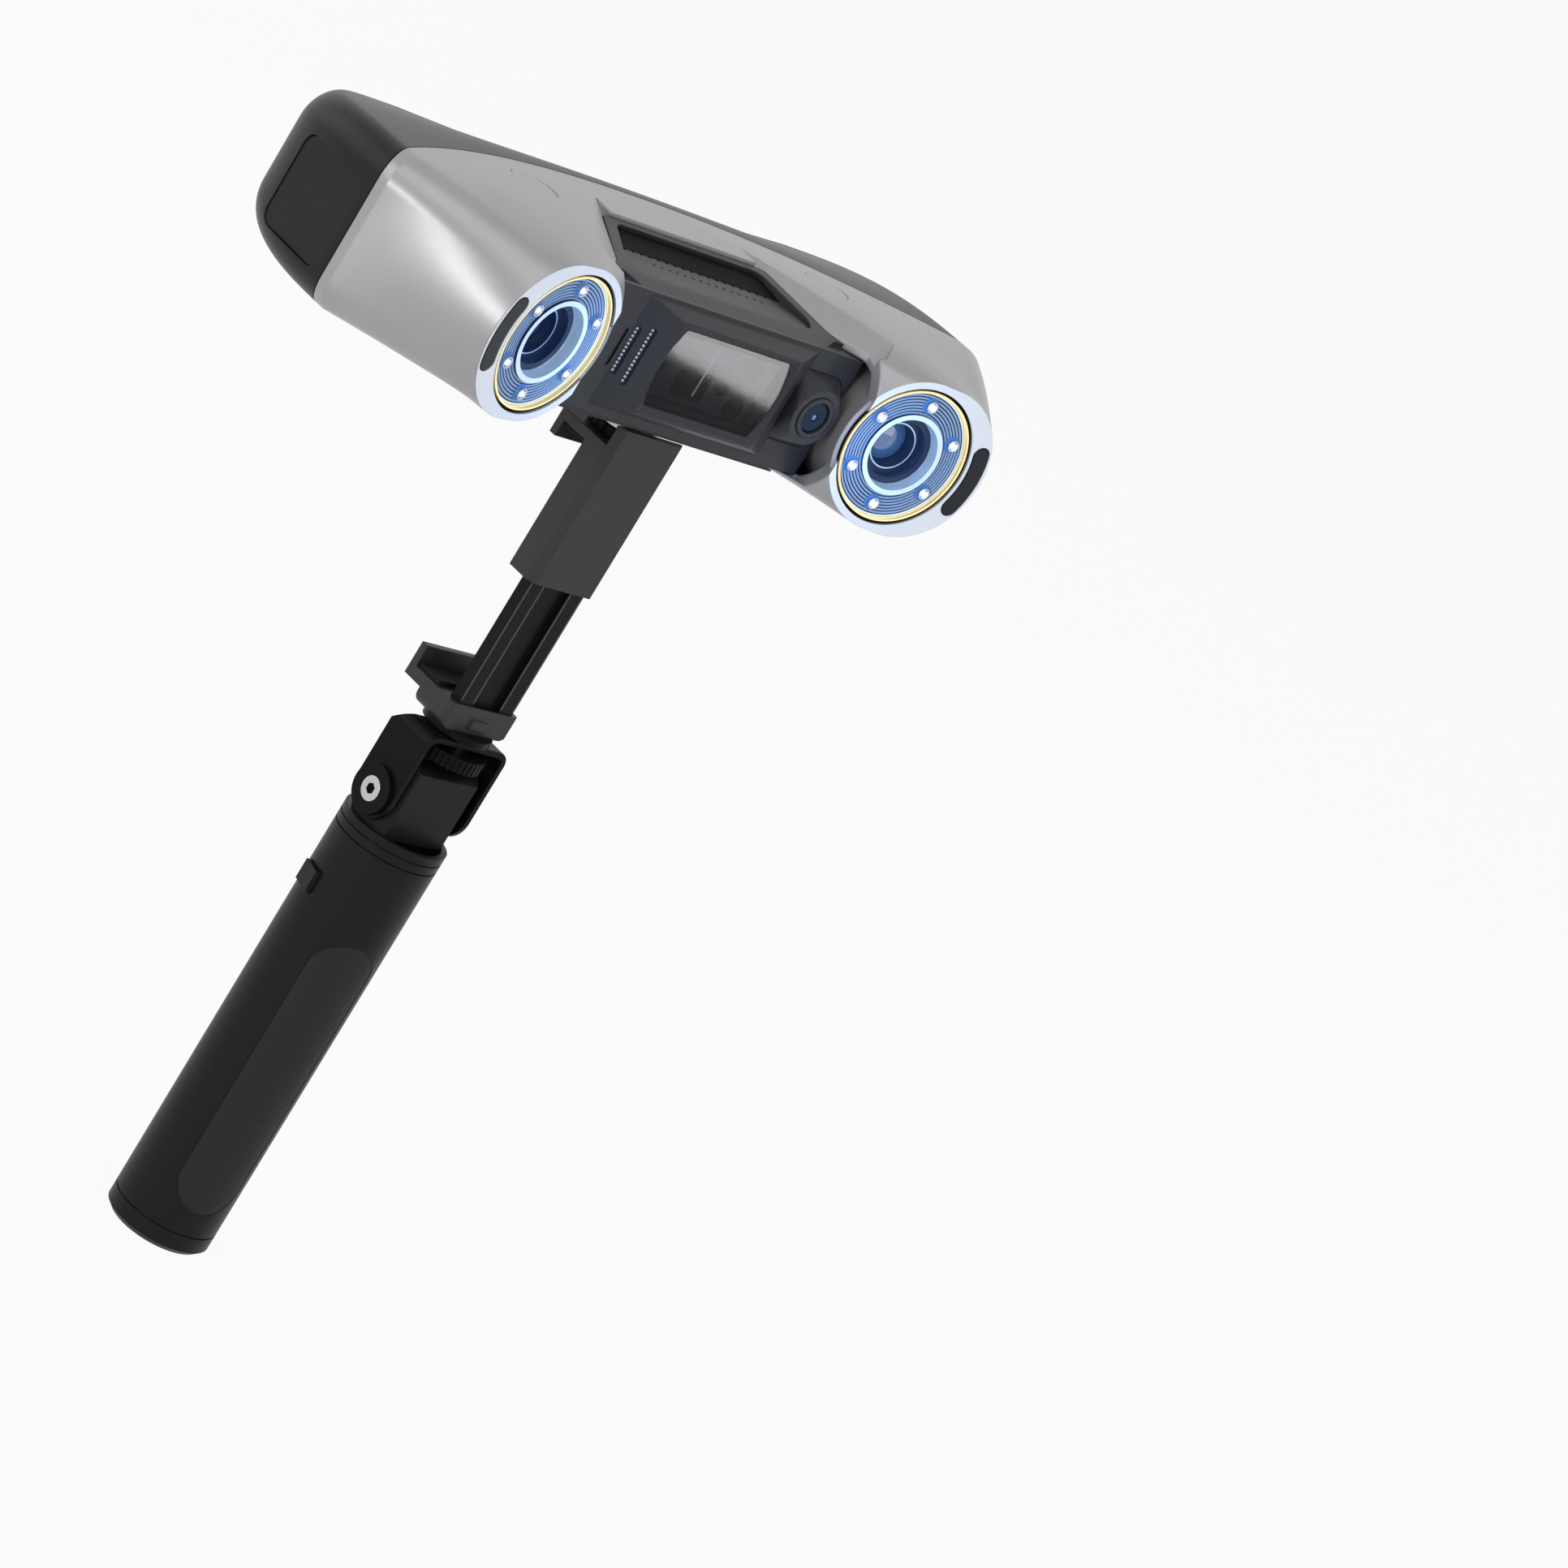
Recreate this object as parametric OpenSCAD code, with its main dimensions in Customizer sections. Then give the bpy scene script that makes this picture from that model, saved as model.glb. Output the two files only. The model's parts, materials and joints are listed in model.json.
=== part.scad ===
// Handheld three-d scanner: scan head, phone clamp, tilting yoke and grip handle.
// Millimetres. The origin is the centre of the handle's base, +Z is up and the lenses look along -Y.

/* [Grip handle] */
// Diameter of the grip
grip_d = 32; // [31:0.5:34]
// Height of the collar's rim above the base
handle_len = 137; // [130:1:145]
// Wall of the grip tube
grip_wall = 2.4; // [2:0.1:2.8]
// Height of the bottom cap
cap_h = 6.8; // [6:0.2:9]
// Height of the collar on top of the grip tube
collar_h = 5.7; // [5.2:0.1:7]
// Turn of the grip about its axis, against the yoke
grip_turn = 16; // [0:1:30]
// Length of the grip pad
pad_len = 91; // [80:1:94]
// Width of the grip pad
pad_w = 20; // [16:0.5:22]
// Thickness of the grip pad
pad_t = 1.1; // [0.8:0.1:1.3]
// Height of the grip pad's lower end above the base
pad_z = 14; // [12:0.5:16]
// Width of the power button
button_w = 7.8; // [6:0.2:9]
// Height of the power button
button_h = 6.5; // [5:0.5:9]
// Depth of the power button's middle below the collar's rim
button_drop = 22.5; // [21:0.5:25]
// Travel of the power button
button_travel = 1; // [0.6:0.1:1.2]

/* [Tilting yoke] */
// Height of the tilt axis above the collar's rim
tilt_rise = 9.5; // [9.2:0.1:11]
// Height of the yoke's top above the tilt axis
yoke_rise = 23; // [22.6:0.1:25]
// Depth of the yoke, front to back
yoke_d = 16.5; // [15:0.5:17.5]
// Wall of the yoke's ears and top plate
yoke_wall = 1.6; // [1.4:0.1:2]
// Diameter of the tilt bolt
bolt_d = 6; // [5:0.5:6.5]
// Diameter of the knurled wheel under the yoke's top
wheel_d = 24; // [22:0.5:25]
// Thickness of the knurled wheel
wheel_h = 4; // [3.5:0.1:4.4]

/* [Phone clamp] */
// Width of both jaws
jaw_w = 26.6; // [26:0.2:28]
// Gap between the two pads, as it rests
jaw_gap = 77.5; // [74:0.5:80]
// Depth of the phone slot
slot_d = 10; // [9:0.5:12]
// Height of the lower jaw's shelf above its underside
shelf_h = 8; // [7.5:0.1:9]
// Height of the lips that hook behind the phone
lip_h = 5; // [4:0.5:6]
// Thickness of the upper hook
hook_h = 3; // [2.6:0.1:3.4]
// Length of the upper housing
housing_len = 43.4; // [41:0.2:44]
// Width of the rail
rail_w = 21.4; // [19:0.2:22]
// Thickness of the rail
rail_t = 4; // [3.6:0.1:4.2]
// How far the clamp can close from rest
clamp_close = 16; // [10:1:17]
// Diameter of the lock wheel under the head
lock_d = 19; // [17:0.5:19.5]

/* [Scan head] */
// Distance between the centres of the two lens rings
ring_spacing = 145; // [143:0.5:147]
// Inward turn of each lens pod
toe_in = 10.7; // [9.5:0.1:12]
// Radius of the pod's front rim
rim_r = 23.3; // [23:0.1:23.6]
// Outward stretch of the pod's front rim
rim_stretch = 5.3; // [4.8:0.1:5.8]
// Length of the head
head_len = 244.8; // [243:0.2:248]
// Height of the head at the seam of its shells
head_h = 47; // [46.4:0.2:48]
// Wall of the two shells
shell_wall = 2.2; // [2:0.1:2.4]
// Setback of the lens rings in front of the handle's axis
ring_front = 25.2; // [24.6:0.1:25.8]
// Half width of the projector window's top edge
window_half = 21.2; // [20.5:0.1:21.6]
// Height of the projector window
window_h = 23.5; // [22.5:0.1:24]
// Diameter of the rear scan button
scan_d = 14; // [12:0.5:16]
// Travel of the scan button
scan_travel = 1; // [0.6:0.1:1.1]
// Side of the square cooling fan
fan_side = 24; // [22:0.5:24.5]

/* [Hidden] */
$fn = 64;
// Clearances: sliding faces, turning pins, seated pieces and a thread in its bore
slide_gap = 0.3;
run_gap = 0.06;
seat_gap = 0.1;
thread_gap = 0.08;
// Small overshoot, so that a cut passes clean through a face
past = 1;
// Quarter-inch tripod thread
tripod_r = 3.175;
tripod_screw_r = tripod_r - thread_gap;

// Heights of the stack, from the base to the head
grip_r = grip_d / 2;
bore_r = grip_r - grip_wall;
tube_top = handle_len - collar_h;
tilt_z = handle_len + tilt_rise;
yoke_top = tilt_z + yoke_rise;
washer_h = 2;
jaw_z = yoke_top + slide_gap + washer_h;
pad_rubber = 1.5;
shelf_z = jaw_z + shelf_h;
lower_pad_top = shelf_z + pad_rubber;
upper_pad_z = lower_pad_top + jaw_gap;
hook_z = upper_pad_z + pad_rubber;
clamp_top = hook_z + hook_h;
lock_h = 3;
flange_h = 3;
lock_z = clamp_top + slide_gap;
flange_z = lock_z + lock_h + slide_gap;
head_z = flange_z + flange_h + slide_gap;
ring_rise = 22;
ring_z = head_z + ring_rise;
mid_z = head_z + head_h / 2;
top_z = head_z + head_h;

// Grip: plugs of the cap and collar, and the pieces inside
plug_h = 7;
plug_r = bore_r - seat_gap / 2;
plug_floor = cap_h + plug_h;
collar_plug_z = tube_top - plug_h;
cap_edge = 1.6;
collar_wall = 1.8;
collar_floor = 1.8;
groove_t = 0.5;
groove_deep = 0.5;
cell_r = 9.2;
cell_len = 65;
insert_r = 5.5;
insert_h = 11;
button_proud = 1.2;
button_deep = 5;
switch_slack = 0.4;
button_back = grip_r + button_proud - button_deep;
button_low = handle_len - button_drop - button_h / 2;
switch_x = button_back - button_travel - switch_slack;
switch_t = 1.6;
charge_w = 15;
charge_len = 32;
board_t = 1.6;

// Yoke, neck and tilt bolt
yoke_half = grip_r;
yoke_inner = yoke_half - yoke_wall;
yoke_corner = 4;
neck_gap = 0.4;
neck_half = yoke_inner - neck_gap;
neck_d = 16;
neck_round = grip_r - 2;
neck_top_r = 13.5;
neck_undercut = 3;
neck_lip = 0.8;
ear_chamfer = 4.2;
neck_z = tube_top + collar_floor;
bolt_r = bolt_d / 2;
bolt_head_r = bolt_r + 0.6;
bolt_sunk = 0.6;
boss_ring_r = 7.2;
boss_ring_t = 1.4;
socket_hex_r = 1.7;
socket_deep = 2.4;
nut_r = 5.77;
nut_floor = 1;
nut_proud = 0.6;
nut_x = yoke_inner + nut_floor;
plate_z = yoke_top - yoke_wall;
wheel_gap = 2;
wheel_top = plate_z - wheel_gap;
washer_r = 10.5;
knurls = 40;
knurl_r = 0.5;

// Clamp
jaw_half = jaw_w / 2;
jaw_front = -6.2;
housing_front = -7.4;
jaw_back = 2.6;
slot_back = jaw_back + slot_d;
lip_t = 2.5;
heel_back = 7.5;
shelf_t = 3.6;
jaw_round = 3.5;
jaw_chamfer = 1;
housing_chamfer = 2.2;
rail_back = -1.6;
rail_front = rail_back - rail_t;
rail_pocket = 2.5;
screw_room = 0.4;
screw_tip = shelf_z - rail_pocket - 2.5 * screw_room;
rail_room = 1.8;
rail_top = hook_z - clamp_close - rail_room;
rail_groove_w = 10.4;
rail_groove_deep = 1.8;
housing_z = hook_z + hook_h - housing_len;
channel_half = rail_w / 2 + slide_gap;
channel_top = hook_z - 0.8;
spring_t = 0.5;
spring_w = 8;
spring_len = 24;
spring_back = rail_back + slide_gap + spring_t;
spring_z = housing_z + 4;
pad_inset = 0.4;
shield_t = 2.2;
shield_gap = 0.6;
stud_y = 5;
stud_boss_r = 5;
flange_r = 9.5;
stud_reach = 8;
nub_w = 6;
nub_h = 3;
nub_proud = 0.8;
nub_drop = 5;

// Plan of the head: the seam between its shells and the rear corners
head_half = head_len / 2;
seam_end_y = 10.6;
seam_mid_y = 43;
seam_bow = 2.2;
seam_gap = 0.3;
seam_band = 3.5;
seam_corner = 9;
rear_corner_in = 31.4;
rear_corner_x = head_half - rear_corner_in;
rear_corner_y = 61.8;
rear_mid_y = 56;
rear_drop = 4.7;
rear_lift = 1.1;
rear_round = 2;
rear_power = 0.606;
rear_taper = 1.5;
rear_gusset_y = 30;
top_crown = 1.2;
past_middle = 10;
quarter_turn = 90;
corner_from = 30;
corner_to = 60;
pod_sides = 48;
pod_steps = 7;
rear_sides = 72;
rear_steps = 7;

// Middle of the front shell, between the pods
floor_front = -6.5;
strip_half = 40;
floor_half = 49;
middle_half = 45;
seam_steps = 36;
// Sloping facet beside the fascia: where it meets the top, its slopes and its plan
facet_x = 36;
facet_y = 22;
facet_rise_x = 0.355;
facet_rise_y = 0.3265;
facet_plan = [[30, 18], [36, 22], [40, 24], [66, -6], [56, -15], [46, -15], [40, -3]];

// Stack of one pod, measured inward from its rim
pod_bore = 21.2;
tube_r = rim_r - 0.6;
tube_sunk = 1;
tube_depth = 18;
ledge_depth = 10;
ledge_r = 19.5;
carrier_floor = 2;
carrier_lip_r = 20.4;
carrier_sunk = 0.8;
trim_in_r = 19.7;
trim_sunk = 0.4;
plate_sunk = 2;
barrel_r = 12.5;
barrel_sunk = 1.2;
barrel_mouth_r = 11;
barrel_flange_r = 13.5;
barrel_back_r = 9;
barrel_depth = 26;
lens_r = 6.2;
lens_front = 9;
lens_seat = 13;
lens_edge = 2;
stop_r = 4.5;
lamp_ring_r = 15.8;
lamp_r = 1.7;
lamp_h = 0.7;
lamps_each = 6;
status_in_r = 22.3;
status_out_r = 27.6;
status_half_angle = 26;
status_deep = 1.4;
sensor_side = 20;
chip_side = 6;
chip_t = 0.6;

// Screw plugs in the top
plug_disc_x = 60.8;
plug_disc_y = 21.5;
plug_disc_r = 7;
plug_disc_floor = top_z - 1.2;
plug_disc_t = 1.5;
plug_sides = 44;

// Centre fascia
fascia_gap = 0.15;
fascia_top_y = 21;
fascia_top_half = 33.5;
fascia_notch_y = -2;
fascia_notch_half = 44;
fascia_tab_y = -11.2;
fascia_tab_half = 53.3;
tab_rise = 17.8;
tab_fall = 15.5;
fascia_tab_top = ring_z + tab_rise;
fascia_tab_low = ring_z - tab_fall;
fascia_front = -17.5;
fascia_back = -5;
hood_half = 25;
hood_half_h = 14.5;
hood_low = ring_z - hood_half_h;
hood_high = ring_z + hood_half_h;
body_low = head_z + shell_wall;
slab_low_rise = 12;
slab_front_rise = 19.3;
slab_back_rise = 24;
slab_low = ring_z + slab_low_rise;
slab_front_z = ring_z + slab_front_rise;
slab_back_z = ring_z + slab_back_rise;
slab_t = 4;
panel_recess = 1.5;
panel_plate = 0.6;
panel_edge = 3.5;
panel_front_y = 1;
panel_back_y = 17;
window_y = -16.2;
window_t = 1.6;
window_z = ring_z + 0.5;
window_bow = 2.4;
cavity_half = 20;
cavity_h = 20;
cavity_back = -7.5;
laser_w = 11.6;
laser_h = 11;
laser_x = -5.8;
laser_z = ring_z - 1.5;
laser_d = 6.5;
slit_w = 1;
lens_spots = [[14.1, -6, 3.4], [5.9, -1.1, 2.4], [14.1, 6, 3.4]];
spot_d = 6;
camera_x = 41.2;
camera_half = 9.5;
camera_half_h = 13;
camera_floor = -6;
camera_front = -16.6;
camera_seat = camera_floor - 3;
camera_proud = 0.4;
camera_ring_r = 6.3;
camera_bore_r = 4.8;
camera_lens_t = 2;
camera_nose_r = 8.5;

// Bosses where the shells are screwed together
boss_x = 92;
boss_dz = 11.5;
boss_r = 3.5;
boss_front = 2;
boss_y = 20;
gusset_t = 2;
gusset_half = 3.2;
gusset_pitch = 8;
gusset_sides = 16;
boss_sides = 32;
gusset_foot = 0.5;
screw_r = 1.5;
screw_hole_r = 1.65;
screw_head_r = 3;
screw_head_h = 2.6;
screw_head_y = 52;
screw_tip_y = 8;

// End panels: their place on the rear shell's end walls
end_front_angle = 0.65;
end_rear_angle = 27.6;
end_front = end_wall(end_front_angle);
end_rear = end_wall(end_rear_angle);
end_x = (end_front[0] + end_rear[0]) / 2;
end_y = (end_front[1] + end_rear[1]) / 2;
end_drop = 2;
end_turn = atan((end_front[0] - end_rear[0]) / (end_rear[1] - end_front[1]));
panel_w = norm(end_rear - end_front);
panel_h = 27;
panel_corner = 4;
panel_sides = 32;
panel_face = 0.3;
panel_t = 2;
slots = 11;
slot_pitch = 2.1;
slot_t = 1.1;
slot_edge = 3;
slot_len = panel_w - 2 * slot_edge;
slot_tilt = -8;
fan_t = 8;
fan_hub_r = 4.5;
fan_blades = 7;
fan_hole_r = fan_side / 2 - 1.5;
blade_t = 0.9;
blade_turn = 35;
fan_pin_r = 1;

// Inside the head
beam_half = 88;
beam_front = 8;
beam_back = 13;
rib_back = 12;
beam_h = 12;
beam_pad = 16;
shoe_h = 9;
post_r = 2.5;
post_x = 40;
main_board_y = 20;
main_board_half = 52;
main_board_h = 32;
sink_half = 34;
sink_h = 24;
sink_base = 3;
fins = 8;
fin_t = 1.5;
fin_d = 12;
switch_board_y = 43;
switch_board_h = 15;
switch_board_edge = 3;
switch_post_x = scan_d / 2 + 5;
switch_h = 4;
scan_z = mid_z + 2;
scan_proud = 1.2;
scan_flange = 1.4;
scan_flange_t = 1.6;
scan_back = rear_mid_y - shell_wall - slide_gap - scan_flange_t;
socket_x = -32;
socket_w = 9.4;
socket_h = 3.6;
socket_z = mid_z - 2;
socket_skin = 0.5;
socket_sunk = 0.4;
tripod_boss_r = 8.5;
tripod_insert_r = 6;
tripod_insert_h = 9;
tripod_flange_r = 7.5;

// Helpers

// A box between two opposite corners
module box(low, high) {
    translate(low) cube(high - low);
}

// A rod along X, Y or Z from one end to the other
module rod_x(from, to, y, z, r) {
    translate([from, y, z]) rotate([0, 90, 0]) cylinder(h = to - from, r = r);
}

module rod_y(x, from, to, z, r) {
    translate([x, to, z]) rotate([90, 0, 0]) cylinder(h = to - from, r = r);
}

module rod_z(x, y, from, to, r) {
    translate([x, y, from]) cylinder(h = to - from, r = r);
}

// A ring about local Z
module ring(from, to, outer, inner) {
    difference() {
        translate([0, 0, from]) cylinder(h = to - from, r = outer);
        translate([0, 0, from - past]) cylinder(h = to - from + 2 * past, r = inner);
    }
}

// A rectangle with round corners
module round_plan(w, h, r) {
    square([w - 2 * r, h], center = true);
    square([w, h - 2 * r], center = true);
    for (x = [-1, 1], y = [-1, 1]) translate([x * (w / 2 - r), y * (h / 2 - r)]) circle(r = r);
}

// An upright slab with two rounded top corners
module arch(half, depth, top, corner) {
    box([-half, -depth, 0], [half, depth, top - corner]);
    box([-half + corner, -depth, 0], [half - corner, depth, top]);
    for (side = [-1, 1]) rod_y(side * (half - corner), -depth, depth, top - corner, corner);
}

// Two upright square bars turned by an eighth, which chamfer the front corners of a jaw
module corner_bars(front, size, from, to) {
    side = size * sqrt(2);
    for (x = [-jaw_half, jaw_half]) translate([x, front, (from + to) / 2]) rotate([0, 0, 45])
        cube([side, side, to - from], center = true);
}

// The children and their mirror image across the middle plane
module both() {
    children();
    mirror([1, 0, 0]) children();
}

// Local frame of the right pod: X outward, Y up, Z out of the rim
module at_pod() {
    translate([ring_spacing / 2, -ring_front, ring_z]) rotate([0, 0, -toe_in]) rotate([90, 0, 0]) children();
}

// Local frame of the right end wall: X outward, Z up
module at_end() {
    translate([end_x, end_y, mid_z - end_drop]) rotate([0, 0, end_turn]) children();
}

// Frame of the grip: pad towards -Y, power button towards -X
module at_grip() {
    rotate([0, 0, -grip_turn]) children();
}

// Lofted shells

function blend(a, b, t) = a + (b - a) * t;
function side_angle(i, sides) = (i + 0.5) * 360 / sides;
function seam_y(x) = seam_mid_y - (seam_mid_y - seam_end_y) * pow(abs(x) / head_half, seam_bow);

// One quarter of a rounded rectangle: up the end, round the corner, along the top
function quarter(a, length, height, corner) =
    a < corner_from ? [length, (height - corner) * a / corner_from]
    : a < corner_to ? let (turn = (a - corner_from) * quarter_turn / (corner_to - corner_from))
        [length - corner + corner * cos(turn), height - corner + corner * sin(turn)]
    : [(length - corner) * (quarter_turn - a) / (quarter_turn - corner_to), height];

function rounded_box(a, length, height, corner) =
    let (point = quarter(asin(abs(sin(a))), length, height, corner))
    [sign(cos(a)) * point[0], sign(sin(a)) * point[1]];

// Egg-shaped rim of the right pod, drawn in by an inset and set back as far
function rim_point(a, inset) =
    let (out = (rim_r - inset) * cos(a) + (cos(a) > 0 ? rim_stretch : 0))
    [ring_spacing / 2 + out * cos(toe_in) + inset * sin(toe_in),
     -ring_front - out * sin(toe_in) + inset * cos(toe_in),
     ring_z + (rim_r - inset) * sin(a)];

// Rounded end of the front shell at the seam
function seam_point(a, inset) =
    let (reach = head_half - inset)
    let (point = rounded_box(a, (reach + past_middle) / 2, head_h / 2 - inset, seam_corner - inset / 2))
    let (x = (reach - past_middle) / 2 + point[0])
    [x, seam_y(x), mid_z + point[1]];

function pod_point(a, t, inset) =
    blend(rim_point(a, inset), seam_point(a, inset) - [0, seam_band, 0], t)
    + [0, 0, 4 * top_crown * t * (1 - t) * max(sin(a), 0)];

// Plan of the rear shell's right end, a squared ellipse round the corner
function end_wide(g) = pow(cos(g), rear_power);
function end_deep(g) = pow(sin(g), rear_power);
function end_wall(g) = [rear_corner_x + rear_corner_in * end_wide(g),
                        seam_end_y + (rear_corner_y - seam_end_y) * end_deep(g)];

// Rear shell: the seam's outline swept round the rear corners
function rear_point(a, g, inset) =
    let (drawn = pow(sin(g), rear_taper))
    let (length = rear_corner_x + rear_corner_in * end_wide(g) - inset)
    let (height = head_h / 2 - rear_drop * drawn - inset)
    let (point = rounded_box(a, length, height, seam_corner + rear_round * drawn - inset / 2))
    let (end = seam_end_y + (rear_corner_y - seam_end_y - inset) * end_deep(g))
    let (middle = seam_mid_y + (rear_mid_y - seam_mid_y - inset) * end_deep(g))
    [point[0], middle + (end - middle) * pow(abs(point[0]) / length, seam_bow),
     mid_z + rear_lift * drawn + point[1]];

// A closed skin over rings of points, capped by strips from top to bottom
module skin(rings) {
    sides = len(rings[0]);
    last = (len(rings) - 1) * sides;
    walls = [for (k = [0:len(rings) - 2], i = [0:sides - 1])
        let (a = k * sides + i, b = k * sides + (i + 1) % sides)
        each [[a, b, b + sides], [a, b + sides, a + sides]]];
    front = [for (i = [0:sides / 2 - 2])
        each [[i, sides - 2 - i, i + 1], [i, sides - 1 - i, sides - 2 - i]]];
    back = [for (i = [0:sides / 2 - 2])
        each [[last + i, last + i + 1, last + sides - 2 - i],
              [last + i, last + sides - 2 - i, last + sides - 1 - i]]];
    polyhedron(points = [for (ring = rings) each ring], faces = concat(walls, front, back));
}

module pod_loft(inset, reach) {
    angles = [for (i = [0:pod_sides - 1]) side_angle(i, pod_sides)];
    sections = [for (k = [0:pod_steps]) [for (a = angles) pod_point(a, k / pod_steps, inset)]];
    skin(concat(sections, [[for (a = angles) seam_point(a, inset) + [0, reach, 0]]]));
}

module rear_loft(inset, lead) {
    angles = [for (i = [0:rear_sides - 1]) side_angle(i, rear_sides)];
    first = [for (a = angles) rear_point(a, 0, inset) + [0, lead, 0]];
    skin(concat([first], [for (k = [1:rear_steps])
        [for (a = angles) rear_point(a, k * quarter_turn / rear_steps, inset)]]));
}

// Everything in front of the seam between the two shells
module before_seam() {
    reach = head_half + past;
    seam = [for (k = [0:seam_steps]) let (x = reach - 2 * reach * k / seam_steps) [x, seam_y(x)]];
    linear_extrude(2 * top_z)
        polygon(concat([[-reach, -2 * ring_front], [reach, -2 * ring_front]], seam));
}

// Everything above the sloping facet beside the fascia, with the facet lowered by a depth
module above_facet(depth) {
    slope = [[1, 0, 0, 0], [0, 1, 0, 0], [facet_rise_x, facet_rise_y, 1, 0], [0, 0, 0, 1]];
    level = top_z - depth - facet_rise_x * facet_x - facet_rise_y * facet_y;
    translate([0, 0, level]) multmatrix(slope) linear_extrude(head_h) polygon(facet_plan);
}

// Outline of the fascia's opening in plan, with room round it
module fascia_plan(room) {
    polygon([
        [-fascia_top_half - room, fascia_top_y + room], [fascia_top_half + room, fascia_top_y + room],
        [fascia_notch_half + room, fascia_notch_y], [fascia_tab_half + room, fascia_tab_y],
        [fascia_tab_half + room, -2 * ring_front], [-fascia_tab_half - room, -2 * ring_front],
        [-fascia_tab_half - room, fascia_tab_y], [-fascia_notch_half - room, fascia_notch_y]
    ]);
}

// A boss along Y with two gussets that tie it to the nearest wall
module boss(from, to, dz, wall_z, gusset_y) {
    rod_y(boss_x, from, to, ring_z + dz, boss_r, $fn = boss_sides);
    for (y = [gusset_y, gusset_y + gusset_pitch]) hull() {
        rod_y(boss_x, y, y + gusset_t, ring_z + dz, gusset_t, $fn = gusset_sides);
        translate([boss_x - gusset_half, y, wall_z]) cube([2 * gusset_half, gusset_t, gusset_foot]);
    }
}

module boss_pair(from, to, gusset_y) {
    boss(from, to, -boss_dz, head_z + shell_wall / 2, gusset_y);
    boss(from, to, boss_dz, top_z - shell_wall + 0.4, gusset_y);
}

module screw_places() {
    for (side = [-1, 1], dz = [-boss_dz, boss_dz]) translate([side * boss_x, 0, ring_z + dz]) children();
}

// Scan head

module front_shell() {
    color("silver") difference() {
        union() {
            difference() {
                intersection() {
                    union() {
                        both() pod_loft(0, past_middle);
                        box([-strip_half, fascia_top_y, top_z - shell_wall], [strip_half, rear_mid_y, top_z]);
                        box([-floor_half, floor_front, head_z],
                            [floor_half, rear_mid_y, head_z + shell_wall]);
                    }
                    before_seam();
                }
                difference() {
                    union() {
                        both() pod_loft(shell_wall, 2 * past_middle);
                        box([-middle_half, -2 * ring_front, head_z + shell_wall],
                            [middle_half, rear_corner_y, top_z - shell_wall]);
                    }
                    both() above_facet(shell_wall);
                }
                both() above_facet(0);
                translate([0, 0, head_z + shell_wall]) linear_extrude(head_h) fascia_plan(0);
            }
            both() at_pod() translate([0, 0, -tube_depth]) cylinder(h = tube_depth - tube_sunk, r = tube_r);
            both() intersection() {
                union() {
                    boss_pair(boss_front, boss_y, boss_front + 4);
                    beam_rib();
                }
                pod_loft(shell_wall / 2, -past);
            }
            rod_z(0, stud_y, head_z, head_z + tripod_insert_h, tripod_boss_r);
        }
        both() at_pod() {
            translate([0, 0, -ledge_depth]) cylinder(h = ledge_depth + past, r = pod_bore);
            translate([0, 0, -tube_depth - past]) cylinder(h = tube_depth + past, r = ledge_r);
            status_cut(status_in_r - seat_gap, status_out_r + seat_gap, 1);
        }
        both() rod_z(plug_disc_x, plug_disc_y, plug_disc_floor, top_z + past, plug_disc_r + seat_gap,
            $fn = plug_sides);
        rod_z(0, stud_y, head_z - past, top_z - head_h / 2, tripod_insert_r);
        screw_places() rod_y(0, boss_front + past, boss_y + past, 0, screw_hole_r);
    }
}

// Rib of the front shell that the optical beam's end is held by
module beam_rib() {
    box([beam_half, beam_front, ring_z - beam_h / 4], [head_half, rib_back, ring_z + beam_h / 4]);
}

// Arc-shaped recess or window beside the lens ring
module status_cut(inner, outer, above) {
    translate([0, 0, -status_deep]) rotate([0, 0, -status_half_angle])
        rotate_extrude(angle = 2 * status_half_angle)
            translate([inner, 0]) square([outer - inner, status_deep + above]);
}

module rear_shell() {
    color([0.13, 0.13, 0.14]) difference() {
        union() {
            difference() {
                rear_loft(0, seam_gap);
                rear_loft(shell_wall, -rear_corner_y);
            }
            intersection() {
                both() boss_pair(boss_y, rear_corner_y, rear_gusset_y);
                rear_loft(0, -past_middle);
            }
            for (x = [-switch_post_x, switch_post_x])
                rod_y(x, switch_board_y + board_t, rear_mid_y - past, scan_z, post_r);
        }
        screw_places() rod_y(0, boss_front, rear_corner_y + past, 0, screw_hole_r);
        screw_places() rod_y(0, screw_head_y, rear_corner_y + past, 0, screw_head_r + seat_gap);
        both() at_end() end_block(-2 * panel_t - panel_face, panel_t + 2 * past, seat_gap);
        rod_y(0, rear_mid_y - 2 * shell_wall, rear_corner_y, scan_z, scan_d / 2 + slide_gap);
        box([socket_x - socket_w / 2, rear_mid_y - 2 * shell_wall, socket_z - socket_h / 2],
            [socket_x + socket_w / 2, rear_corner_y, socket_z + socket_h / 2]);
    }
}

// Block that fills an end wall's opening, between two depths behind its face, with room round it
module end_block(from, to, room) {
    translate([-panel_face - to, 0, 0]) rotate([90, 0, 90]) linear_extrude(to - from)
        round_plan(panel_w + 2 * room, panel_h + 2 * room, panel_corner + room, $fn = panel_sides);
}

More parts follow.
